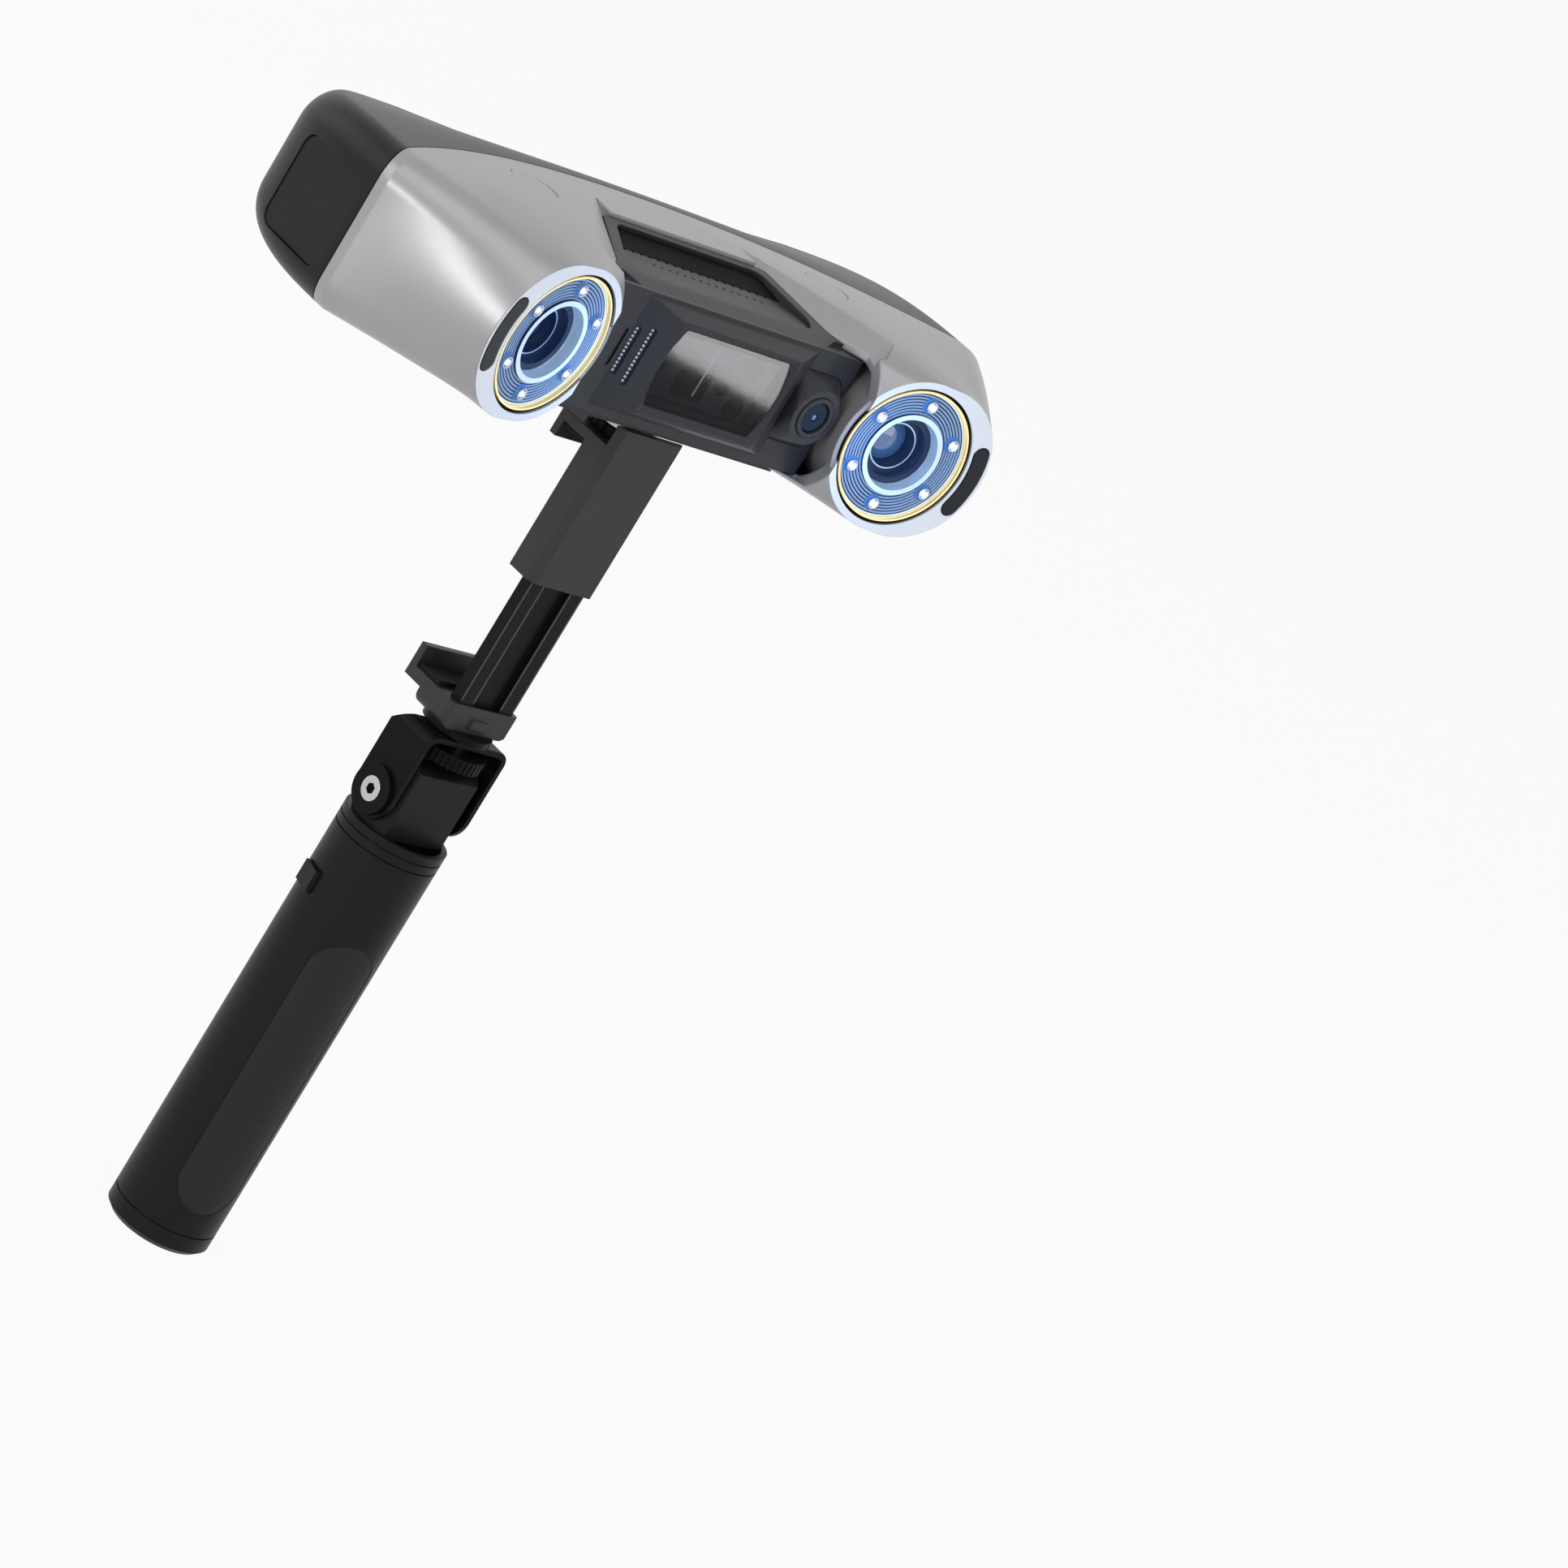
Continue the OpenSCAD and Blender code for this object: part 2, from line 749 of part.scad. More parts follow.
module fascia_solid() {
    intersection() {
        union() {
            hull() {
                box([-hood_half, fascia_front, hood_low], [hood_half, fascia_front + past, hood_high]);
                box([-fascia_notch_half, fascia_back - past, body_low],
                    [fascia_notch_half, fascia_back, slab_front_z]);
            }
            hull() {
                box([-fascia_tab_half, fascia_back - past, slab_low],
                    [fascia_tab_half, fascia_back, slab_front_z]);
                box([-fascia_top_half, fascia_top_y - past, slab_back_z - slab_t],
                    [fascia_top_half, fascia_top_y, slab_back_z]);
            }
            box([-fascia_tab_half, fascia_tab_y, fascia_tab_low],
                [fascia_tab_half, fascia_back, fascia_tab_top]);
        }
        translate([0, 0, head_z]) linear_extrude(2 * head_h) fascia_plan(-fascia_gap);
    }
}

module window_outline() {
    bow_r = (window_h * window_h / 4 + window_bow * window_bow) / (2 * window_bow);
    intersection() {
        square([4 * window_half, window_h], center = true);
        translate([window_half + window_bow - bow_r, 0]) circle(r = bow_r);
        translate([bow_r - window_half - window_bow, 0]) circle(r = bow_r);
    }
}

// Slab along Y with the window's outline
module window_slab(from, to) {
    translate([0, to, window_z]) rotate([90, 0, 0]) linear_extrude(to - from) window_outline();
}

// Frame on the fascia's sloping top: Y along the slope, Z out of it
module at_slope() {
    slope = atan((slab_back_z - slab_front_z) / (fascia_top_y - fascia_back));
    translate([0, fascia_back, slab_front_z]) rotate([slope, 0, 0]) children();
}

module panel_plan() {
    polygon([
        [-fascia_notch_half + panel_edge, panel_front_y], [fascia_notch_half - panel_edge, panel_front_y],
        [fascia_top_half - panel_edge, panel_back_y + panel_edge],
        [-fascia_top_half + panel_edge, panel_back_y + panel_edge]
    ]);
}

// Room that the fascia leaves for the two pods
module pod_room() {
    at_pod() translate([0, 0, -2 * tube_depth]) cylinder(h = 3 * tube_depth, r = rim_r + fascia_gap);
}

module center_fascia() {
    color([0.12, 0.12, 0.13]) difference() {
        fascia_solid();
        both() pod_room();
        window_slab(fascia_front - past, window_y + window_t);
        box([-cavity_half, window_y, window_z - cavity_h / 2],
            [cavity_half, cavity_back, window_z + cavity_h / 2]);
        camera_block(seat_gap);
        at_slope() translate([0, 0, -panel_recess]) linear_extrude(2 * panel_recess) panel_plan();
    }
}

module perforated_panel() {
    color([0.10, 0.10, 0.11]) at_slope() translate([0, 0, -panel_recess])
        linear_extrude(panel_plate) panel_plan();
}

module projector_window() {
    color([0.05, 0.05, 0.06]) window_slab(window_y, window_y + window_t);
}

module line_laser() {
    color([0.08, 0.08, 0.09]) difference() {
        box([laser_x - laser_w / 2, cavity_back - laser_d, laser_z - laser_h / 2],
            [laser_x + laser_w / 2, cavity_back, laser_z + laser_h / 2]);
        box([laser_x + laser_w / 4, cavity_back - laser_d - past, laser_z - laser_h / 3],
            [laser_x + laser_w / 4 + slit_w, cavity_back - laser_d / 2, laser_z + laser_h / 3]);
    }
}

module window_lenses() {
    color([0.06, 0.06, 0.07]) for (spot = lens_spots)
        rod_y(spot[0], cavity_back - spot_d, cavity_back, ring_z + spot[1], spot[2]);
}

// Block round the texture camera that tapers to a round nose, with room round it
module camera_block(room) {
    hull() {
        box([camera_x - camera_half - room, camera_floor - past, ring_z - camera_half_h - room],
            [camera_x + camera_half + room, camera_floor, ring_z + camera_half_h + room]);
        rod_y(camera_x, camera_front, camera_front + past, ring_z, camera_nose_r + room, $fn = 32);
    }
}

module camera_housing() {
    color([0.13, 0.13, 0.14]) difference() {
        camera_block(0);
        both() pod_room();
        rod_y(camera_x, camera_front - past, camera_seat, ring_z, camera_ring_r);
    }
}

module camera_ring() {
    color([0.2, 0.2, 0.21]) difference() {
        rod_y(camera_x, camera_front - camera_proud, camera_seat, ring_z, camera_ring_r - seat_gap);
        rod_y(camera_x, camera_front - past, camera_seat - camera_lens_t, ring_z, camera_bore_r);
    }
}

module camera_lens() {
    color([0.05, 0.06, 0.1])
        rod_y(camera_x, camera_seat - 2 * camera_lens_t, camera_seat - camera_lens_t, ring_z,
            camera_bore_r - seat_gap);
}

module carrier_ring() {
    at_pod() {
        ring(-ledge_depth, carrier_floor - ledge_depth, pod_bore - seat_gap, barrel_r + seat_gap);
        ring(-ledge_depth, -carrier_sunk, pod_bore - seat_gap, carrier_lip_r);
    }
}

module trim_ring() {
    at_pod() ring(carrier_floor - ledge_depth, -trim_sunk, carrier_lip_r - seat_gap, trim_in_r);
}

module light_plate() {
    at_pod() ring(carrier_floor - ledge_depth, -plate_sunk, trim_in_r - seat_gap, barrel_r + seat_gap);
}

module lamp_set() {
    at_pod() for (k = [0:lamps_each - 1]) rotate([0, 0, 360 * (k + 0.5) / lamps_each])
        translate([lamp_ring_r, 0, -plate_sunk]) cylinder(h = lamp_h, r = lamp_r);
}

module lens_barrel() {
    at_pod() rotate_extrude() polygon([
        [barrel_mouth_r, -barrel_sunk], [barrel_r, -barrel_sunk], [barrel_r, -ledge_depth],
        [barrel_flange_r, -ledge_depth], [barrel_flange_r, -ledge_depth - carrier_floor],
        [barrel_back_r, -ledge_depth - carrier_floor], [barrel_back_r, -barrel_depth],
        [stop_r, -barrel_depth], [stop_r, -lens_seat], [lens_r, -lens_seat], [lens_r, -lens_front]
    ]);
}

module lens() {
    edge_r = lens_r - seat_gap;
    dome = lens_seat - lens_edge - lens_front;
    dome_r = (edge_r * edge_r + dome * dome) / (2 * dome);
    at_pod() {
        translate([0, 0, -lens_seat]) cylinder(h = lens_edge, r = edge_r);
        translate([0, 0, lens_edge - lens_seat]) rotate_extrude() intersection() {
            translate([0, dome - dome_r]) circle(r = dome_r);
            square([edge_r, dome]);
        }
    }
}

module sensor_board() {
    at_pod() {
        translate([-sensor_side / 2, -sensor_side / 2, -barrel_depth - board_t])
            cube([sensor_side, sensor_side, board_t]);
        translate([-chip_side / 2, -chip_side / 2, -barrel_depth]) cube([chip_side, chip_side, chip_t]);
    }
}

module left_carrier_ring() { color([0.05, 0.05, 0.05]) mirror([1, 0, 0]) carrier_ring(); }
module right_carrier_ring() { color([0.05, 0.05, 0.05]) carrier_ring(); }
module left_trim_ring() { color("goldenrod") mirror([1, 0, 0]) trim_ring(); }
module right_trim_ring() { color("goldenrod") trim_ring(); }
module left_light_plate() { color([0.25, 0.45, 0.85]) mirror([1, 0, 0]) light_plate(); }
module right_light_plate() { color([0.25, 0.45, 0.85]) light_plate(); }
module left_lens_barrel() { color([0.07, 0.07, 0.09]) mirror([1, 0, 0]) lens_barrel(); }
module right_lens_barrel() { color([0.07, 0.07, 0.09]) lens_barrel(); }
module left_lens() { color([0.1, 0.15, 0.3]) mirror([1, 0, 0]) lens(); }
module right_lens() { color([0.1, 0.15, 0.3]) lens(); }
module lamps() { color("white") both() lamp_set(); }
module sensor_boards() { color("darkgreen") both() sensor_board(); }

module status_windows() {
    color([0.05, 0.05, 0.06]) both() at_pod() status_cut(status_in_r, status_out_r, 0);
}

module screw_plugs() {
    color("silver") both()
        rod_z(plug_disc_x, plug_disc_y, plug_disc_floor, plug_disc_floor + plug_disc_t, plug_disc_r);
}

module vent_grille() {
    color([0.1, 0.1, 0.11]) at_end() difference() {
        end_block(0, panel_t, 0);
        for (k = [0:slots - 1]) translate([-panel_face, 0, (k - (slots - 1) / 2) * slot_pitch])
            rotate([slot_tilt, 0, 0]) cube([4 * panel_t, slot_len, slot_t], center = true);
    }
}

module end_panel() {
    color([0.1, 0.1, 0.11]) mirror([1, 0, 0]) at_end() end_block(0, panel_t, 0);
}

module optical_beam() {
    color("lightgray") {
        box([-beam_half, beam_front, ring_z - beam_h / 2], [beam_half, beam_back, ring_z + beam_h / 2]);
        both() beam_shoe();
        both() rod_y(post_x, beam_back - past, main_board_y, ring_z, post_r);
    }
}

// Block that carries a sensor board square to its pod's axis
module beam_shoe() {
    intersection() {
        at_pod() translate([-beam_pad / 2, -shoe_h / 2, -2 * barrel_depth])
            cube([beam_pad, shoe_h, barrel_depth - board_t]);
        box([0, 0, 0], [head_half, (beam_front + beam_back) / 2, top_z]);
    }
}

module main_board() {
    color("darkgreen") box([-main_board_half, main_board_y, ring_z - main_board_h / 2],
        [main_board_half, main_board_y + board_t, ring_z + main_board_h / 2]);
}

module heat_sink() {
    color("gray") {
        sink_y = main_board_y + board_t;
        box([-sink_half, sink_y, ring_z - sink_h / 2], [sink_half, sink_y + sink_base, ring_z + sink_h / 2]);
        for (k = [0:fins - 1]) translate([-sink_half, sink_y + sink_base - past / 4, ring_z - sink_h / 2])
            translate([0, 0, k * (sink_h - fin_t) / (fins - 1)]) cube([2 * sink_half, fin_d, fin_t]);
    }
}

module at_fan() {
    at_end() translate([-panel_face - panel_t, 0, 0]) rotate([0, -90, 0]) children();
}

module fan_frame() {
    color([0.15, 0.15, 0.16]) at_fan() {
        difference() {
            translate([-fan_side / 2, -fan_side / 2, 0]) cube([fan_side, fan_side, fan_t]);
            translate([0, 0, -past]) cylinder(h = fan_t + 2 * past, r = fan_hole_r);
        }
        translate([-fan_side / 2 + past, -past, fan_t - past]) cube([fan_side - 2 * past, 2 * past, past]);
        translate([0, 0, past]) cylinder(h = fan_t - past, r = fan_pin_r);
    }
}

module fan_rotor() {
    color([0.1, 0.1, 0.1]) at_fan() difference() {
        union() {
            translate([0, 0, past]) cylinder(h = fan_t - 2.5 * past, r = fan_hub_r);
            for (k = [0:fan_blades - 1]) rotate([0, 0, 360 * k / fan_blades])
                translate([fan_hub_r - past / 2, 0, fan_t / 2 - past / 2]) rotate([blade_turn, 0, 0])
                    translate([0, -fan_t / 4, -blade_t / 2])
                        cube([fan_hole_r - fan_hub_r - past / 2, fan_t / 2, blade_t]);
        }
        translate([0, 0, past / 2]) cylinder(h = fan_t, r = fan_pin_r + run_gap);
    }
}

module data_socket() {
    mouth_half = socket_w / 2 - socket_skin;
    color("lightgray") difference() {
        box([socket_x - socket_w / 2, switch_board_y + board_t, socket_z - socket_h / 2],
            [socket_x + socket_w / 2, rear_mid_y - socket_sunk, socket_z + socket_h / 2]);
        box([socket_x - mouth_half, rear_mid_y - 3 * shell_wall, socket_z - socket_h / 2 + socket_skin],
            [socket_x + mouth_half, rear_mid_y, socket_z + socket_h / 2 - socket_skin]);
    }
}

module scan_button() {
    color([0.2, 0.2, 0.21]) {
        rod_y(0, scan_back, rear_mid_y + scan_proud, scan_z, scan_d / 2);
        rod_y(0, scan_back, scan_back + scan_flange_t, scan_z, scan_d / 2 + scan_flange);
    }
}

module switch_board() {
    color("darkgreen") {
        box([socket_x - socket_w, switch_board_y, scan_z - switch_board_h / 2],
            [switch_post_x + switch_board_edge, switch_board_y + board_t, scan_z + switch_board_h / 2]);
        box([-switch_h / 2, switch_board_y + board_t - past / 4, scan_z - switch_h / 2],
            [switch_h / 2, scan_back - scan_travel - switch_slack, scan_z + switch_h / 2]);
    }
}

module tripod_insert() {
    color("goldenrod") difference() {
        union() {
            rod_z(0, stud_y, head_z, head_z + tripod_insert_h + past, tripod_insert_r - seat_gap / 2);
            rod_z(0, stud_y, head_z + tripod_insert_h, head_z + tripod_insert_h + past, tripod_flange_r);
        }
        rod_z(0, stud_y, head_z - past, head_z + tripod_insert_h, tripod_r);
    }
}

module case_screws() {
    color("dimgray") screw_places() {
        rod_y(0, screw_tip_y, screw_head_y + past / 4, 0, screw_r);
        rod_y(0, screw_head_y, screw_head_y + screw_head_h, 0, screw_head_r);
    }
}

// Phone clamp

module head_stud() {
    color("gray") {
        rod_z(0, stud_y, clamp_top, flange_z + past / 4, stud_boss_r);
        rod_z(0, stud_y, flange_z, flange_z + flange_h, flange_r);
        rod_z(0, stud_y, flange_z + past, head_z + stud_reach, tripod_screw_r);
    }
}

module lock_wheel() {
    color([0.1, 0.1, 0.1]) difference() {
        rod_z(0, stud_y, lock_z, lock_z + lock_h, lock_d / 2);
        rod_z(0, stud_y, lock_z - past, lock_z + lock_h + past, stud_boss_r + run_gap);
        for (k = [0:knurls / 2 - 1]) translate([0, stud_y, 0]) rotate([0, 0, 720 * k / knurls])
            rod_z(lock_d / 2, 0, lock_z - past, lock_z + lock_h + past, knurl_r);
    }
}

module upper_jaw() {
    color([0.13, 0.13, 0.14]) difference() {
        union() {
            box([-jaw_half, housing_front, housing_z], [jaw_half, jaw_back, clamp_top]);
            box([-jaw_half, housing_front, hook_z],
                [jaw_half, housing_front + shield_t, head_z - shield_gap]);
            box([-jaw_half, jaw_back - past, hook_z], [jaw_half, slot_back + lip_t, clamp_top]);
            box([-jaw_half, slot_back, hook_z - lip_h], [jaw_half, slot_back + lip_t, clamp_top]);
        }
        box([-channel_half, rail_front - slide_gap, housing_z - past],
            [channel_half, rail_back + slide_gap, channel_top]);
        box([-spring_w / 2, rail_back, spring_z], [spring_w / 2, spring_back, spring_z + spring_len]);
        corner_bars(housing_front, housing_chamfer, housing_z - past, head_z);
    }
}

module upper_pad() {
    color([0.05, 0.05, 0.05]) box([-jaw_half + past, jaw_back + pad_inset, upper_pad_z],
        [jaw_half - past, slot_back - pad_inset, hook_z]);
}

module rail_spring() {
    color("lightgray") box([-spring_w / 2, spring_back - spring_t, spring_z],
        [spring_w / 2, spring_back, spring_z + spring_len]);
}

module clamp_rail() {
    color([0.12, 0.12, 0.12]) difference() {
        box([-rail_w / 2, rail_front, shelf_z - rail_pocket], [rail_w / 2, rail_back, rail_top]);
        box([-rail_groove_w / 2, rail_front - past, shelf_z],
            [rail_groove_w / 2, rail_front + rail_groove_deep, rail_top + past]);
    }
}

module lower_jaw() {
    color([0.13, 0.13, 0.14]) difference() {
        union() {
            jaw_heel();
            box([-jaw_half, jaw_back, shelf_z - shelf_t], [jaw_half, slot_back + lip_t, shelf_z]);
            box([-jaw_half, slot_back, shelf_z - shelf_t],
                [jaw_half, slot_back + lip_t, lower_pad_top + lip_h]);
            box([-nub_w / 2, jaw_front - nub_proud, shelf_z - nub_drop - nub_h / 2],
                [nub_w / 2, jaw_front + past, shelf_z - nub_drop + nub_h / 2]);
        }
        box([-rail_w / 2, rail_front, shelf_z - rail_pocket], [rail_w / 2, rail_back, shelf_z + past]);
        rod_z(0, 0, jaw_z - past, screw_tip + screw_room, tripod_r);
        corner_bars(jaw_front, jaw_chamfer, jaw_z - past, shelf_z + past);
    }
}

// Body of the lower jaw, with round lower corners seen from the front
module jaw_heel() {
    translate([0, heel_back, jaw_z]) rotate([90, 0, 0]) linear_extrude(heel_back - jaw_front) {
        translate([-jaw_half, jaw_round]) square([jaw_w, shelf_h - jaw_round]);
        translate([jaw_round - jaw_half, 0]) square([jaw_w - 2 * jaw_round, shelf_h]);
        for (side = [-1, 1]) translate([side * (jaw_half - jaw_round), jaw_round]) circle(r = jaw_round);
    }
}

module lower_pad() {
    color([0.05, 0.05, 0.05]) box([-jaw_half + past, jaw_back + pad_inset, shelf_z],
        [jaw_half - past, slot_back - pad_inset, lower_pad_top]);
}

module swivel_washer() {
    color([0.1, 0.1, 0.1]) ring(jaw_z - washer_h, jaw_z, washer_r, tripod_r + seat_gap);
}

// Tilting yoke

module yoke_bracket() {
    color([0.08, 0.08, 0.08]) difference() {
        union() {
            intersection() {
                box([-yoke_half, -yoke_d / 2, tilt_z], [yoke_half, yoke_d / 2, yoke_top]);
                arch(yoke_half, yoke_d, yoke_top, yoke_corner);
            }
            rod_x(-yoke_half, yoke_half, 0, tilt_z, yoke_d / 2);
        }
        arch(yoke_inner, yoke_d, plate_z, yoke_corner - yoke_wall);
        translate([0, yoke_d / 2, yoke_top]) rotate([45, 0, 0])
            cube([4 * yoke_half, ear_chamfer * sqrt(2), ear_chamfer * sqrt(2)], center = true);
        rod_x(nut_x, 2 * yoke_half, 0, tilt_z, nut_r + seat_gap, $fn = 6);
        rod_x(-2 * yoke_half, 2 * yoke_half, 0, tilt_z, bolt_r + run_gap);
        rod_x(-2 * yoke_half, -yoke_half + bolt_sunk, 0, tilt_z, bolt_head_r + run_gap);
        rod_z(0, 0, plate_z - past, yoke_top + past, tripod_r);
    }
}

module yoke_wheel() {
    color([0.1, 0.1, 0.1]) {
        difference() {
            rod_z(0, 0, wheel_top - wheel_h, wheel_top, wheel_d / 2);
            for (k = [0:knurls - 1]) rotate([0, 0, 360 * k / knurls])
                rod_z(wheel_d / 2, 0, wheel_top - wheel_h - past, wheel_top + past, knurl_r);
        }
        rod_z(0, 0, wheel_top - past, screw_tip, tripod_screw_r);
    }
}

module tilt_bolt() {
    color("silver") difference() {
        union() {
            rod_x(-yoke_half - boss_ring_t, -yoke_half + bolt_sunk, 0, tilt_z, bolt_head_r);
            rod_x(-yoke_half, yoke_half + nut_proud, 0, tilt_z, bolt_r);
        }
        translate([-yoke_half - boss_ring_t - past, 0, tilt_z]) rotate([0, 90, 0])
            cylinder(h = socket_deep + past, r = socket_hex_r, $fn = 6);
    }
}

module bolt_boss() {
    color([0.06, 0.06, 0.06]) translate([-yoke_half, 0, tilt_z]) rotate([0, -90, 0])
        ring(0, boss_ring_t, boss_ring_r, bolt_head_r + run_gap);
}

module tilt_nut() {
    color("dimgray") difference() {
        rod_x(nut_x, yoke_half + nut_proud, 0, tilt_z, nut_r, $fn = 6);
        rod_x(0, 2 * yoke_half, 0, tilt_z, bolt_r + run_gap);
    }
}

// Grip handle

module neck_block() {
    color([0.14, 0.14, 0.15]) difference() {
        intersection() {
            rod_z(0, 0, neck_z, tilt_z + 2 * neck_top_r, neck_round);
            box([-neck_half, -neck_d / 2, 0], [neck_half, neck_d / 2, yoke_top]);
            union() {
                rod_x(-neck_half, neck_half, 0, tilt_z, neck_top_r);
                box([-neck_half, -neck_d / 2, 0], [neck_half, neck_d / 2, tilt_z]);
            }
        }
        rod_x(-yoke_half, yoke_half, 0, tilt_z, bolt_r + run_gap);
        box([-yoke_half, -neck_d, 0], [yoke_half, neck_undercut - neck_d / 2, handle_len - neck_lip]);
    }
}

module collar() {
    color([0.1, 0.1, 0.1]) difference() {
        union() {
            rod_z(0, 0, tube_top, handle_len, grip_r);
            rod_z(0, 0, collar_plug_z, tube_top + past, plug_r);
        }
        rod_z(0, 0, neck_z, handle_len + past, grip_r - collar_wall);
        for (z = [tube_top, tube_top + collar_h / 2]) translate([0, 0, z])
            ring(0, groove_t, grip_r + past, grip_r - groove_deep);
    }
}

// Prism with round ends that the grip pad is cut by
module pad_prism() {
    translate([0, 0, pad_z]) rotate([90, 0, 0]) linear_extrude(2 * grip_r) {
        translate([-pad_w / 2, pad_w / 2]) square([pad_w, pad_len - pad_w]);
        translate([0, pad_w / 2]) circle(d = pad_w);
        translate([0, pad_len - pad_w / 2]) circle(d = pad_w);
    }
}

module grip_tube() {
    color([0.1, 0.1, 0.1]) at_grip() difference() {
        rod_z(0, 0, cap_h, tube_top, grip_r);
        rod_z(0, 0, cap_h - past, tube_top + past, bore_r);
        intersection() {
            ring(cap_h, tube_top, grip_r + past, grip_r - pad_t);
            pad_prism();
        }
        box([-2 * grip_r, -button_w / 2 - slide_gap, button_low - slide_gap],
            [-bore_r / 2, button_w / 2 + slide_gap, button_low + button_h + slide_gap]);
    }
}

module grip_pad() {
    color([0.04, 0.04, 0.04]) at_grip() intersection() {
        ring(cap_h, tube_top, grip_r - seat_gap, grip_r - pad_t);
        pad_prism();
    }
}

module bottom_cap() {
    color([0.09, 0.09, 0.09]) difference() {
        rotate_extrude() polygon([
            [0, 0], [grip_r - cap_edge, 0], [grip_r, cap_edge], [grip_r, cap_h - groove_t],
            [grip_r - groove_deep, cap_h - groove_t], [grip_r - groove_deep, cap_h],
            [plug_r, cap_h], [plug_r, plug_floor], [0, plug_floor]
        ]);
        rod_z(0, 0, -past, insert_h, insert_r);
    }
}

module power_button() {
    color([0.16, 0.16, 0.16]) at_grip() box([-grip_r - button_proud, -button_w / 2, button_low],
        [-button_back, button_w / 2, button_low + button_h]);
}

module charge_board() {
    color("darkgreen") at_grip() {
        box([-switch_x + switch_t, -charge_w / 2, collar_plug_z - charge_len],
            [-switch_x + switch_t + board_t, charge_w / 2, collar_plug_z]);
        box([-switch_x, -switch_t, button_low + button_h / 2 - switch_t],
            [-switch_x + switch_t + past / 4, switch_t, button_low + button_h / 2 + switch_t]);
    }
}

module battery_cell() {
    color("seagreen") rod_z(0, 0, plug_floor, plug_floor + cell_len, cell_r);
}

module base_insert() {
    color("goldenrod") difference() {
        rod_z(0, 0, 0, insert_h, insert_r - seat_gap / 2);
        rod_z(0, 0, -past, insert_h - past, tripod_r);
    }
}

front_shell();
rear_shell();
center_fascia();
perforated_panel();
projector_window();
line_laser();
window_lenses();
camera_housing();
camera_ring();
camera_lens();
left_carrier_ring();
right_carrier_ring();
left_trim_ring();
right_trim_ring();
left_light_plate();
right_light_plate();
lamps();
status_windows();
sensor_boards();
left_lens_barrel();
right_lens_barrel();
left_lens();
right_lens();
screw_plugs();
vent_grille();
end_panel();
optical_beam();
main_board();
heat_sink();
fan_frame();
fan_rotor();
data_socket();
scan_button();
switch_board();
tripod_insert();
case_screws();
head_stud();
lock_wheel();
upper_jaw();
upper_pad();
rail_spring();
clamp_rail();
lower_jaw();
lower_pad();
swivel_washer();
yoke_bracket();
yoke_wheel();
tilt_bolt();
bolt_boss();
tilt_nut();
neck_block();
collar();
grip_tube();
grip_pad();
bottom_cap();
power_button();
charge_board();
battery_cell();
base_insert();
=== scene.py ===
"""Looks of the handheld three-d scanner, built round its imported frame."""
import json
import math

import bmesh
import bpy
from mathutils import Matrix, Vector


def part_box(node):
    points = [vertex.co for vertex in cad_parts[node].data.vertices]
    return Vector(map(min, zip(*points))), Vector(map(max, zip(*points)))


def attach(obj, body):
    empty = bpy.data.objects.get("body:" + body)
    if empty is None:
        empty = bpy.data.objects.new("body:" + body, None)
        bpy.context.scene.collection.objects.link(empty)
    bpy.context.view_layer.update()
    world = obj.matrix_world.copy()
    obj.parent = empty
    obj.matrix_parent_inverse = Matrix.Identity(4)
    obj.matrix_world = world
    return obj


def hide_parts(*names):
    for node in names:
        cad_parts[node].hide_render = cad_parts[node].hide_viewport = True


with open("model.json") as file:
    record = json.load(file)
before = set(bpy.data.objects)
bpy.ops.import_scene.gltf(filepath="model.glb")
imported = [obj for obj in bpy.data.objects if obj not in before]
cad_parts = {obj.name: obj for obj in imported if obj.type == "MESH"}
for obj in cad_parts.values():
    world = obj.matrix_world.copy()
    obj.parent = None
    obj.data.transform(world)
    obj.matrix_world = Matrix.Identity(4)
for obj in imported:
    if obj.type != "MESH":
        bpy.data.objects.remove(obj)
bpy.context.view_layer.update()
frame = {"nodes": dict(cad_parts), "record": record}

# Sizes in millimetres, as in the part's source where a piece stands for a solid
MM = 0.001
# How far a cutter runs past what it cuts, and the gaps of fixed and sliding fits
PAST = 1
SEAT_GAP = 0.1
SLIDE_GAP = 0.3
HEAD_Z = 270.2
HEAD_H = 47
HEAD_HALF = 122.4
RING_RISE = 22
RING_Z = HEAD_Z + RING_RISE
MID_Z = HEAD_Z + HEAD_H / 2
TOP_Z = HEAD_Z + HEAD_H
SHELL_WALL = 2.2

# Lofts of the two shells
RING_SPACING = 145
RING_FRONT = 25.2
TOE_IN = math.radians(10.7)
RIM_R = 23.3
RIM_STRETCH = 5.3
SEAM_END_Y = 10.6
SEAM_MID_Y = 43
SEAM_BOW = 2.2
SEAM_GAP = 0.3
SEAM_BAND = 3.5
SEAM_CORNER = 9
REAR_CORNER_IN = 31.4
REAR_CORNER_X = HEAD_HALF - REAR_CORNER_IN
REAR_CORNER_Y = 61.8
REAR_MID_Y = 56
REAR_DROP = 4.7
REAR_LIFT = 1.1
REAR_ROUND = 2
REAR_POWER = 0.606
REAR_TAPER = 1.5
TOP_CROWN = 1.2
PAST_MIDDLE = 10
CORNER_FROM = 30
CORNER_TO = 60
STRIP_HALF = 40
FLOOR_FRONT = -6.5
FLOOR_HALF = 49
MIDDLE_HALF = 45
FACET_X = 36
FACET_Y = 22
FACET_RISE_X = 0.355
FACET_RISE_Y = 0.3265
# Plan of the cut that leaves the sloping facet, right of the fascia
FACET_PLAN = ((30, 18), (30, 30), (36, 22), (40, 24), (66, -6), (56, -15), (46, -15), (40, -3))

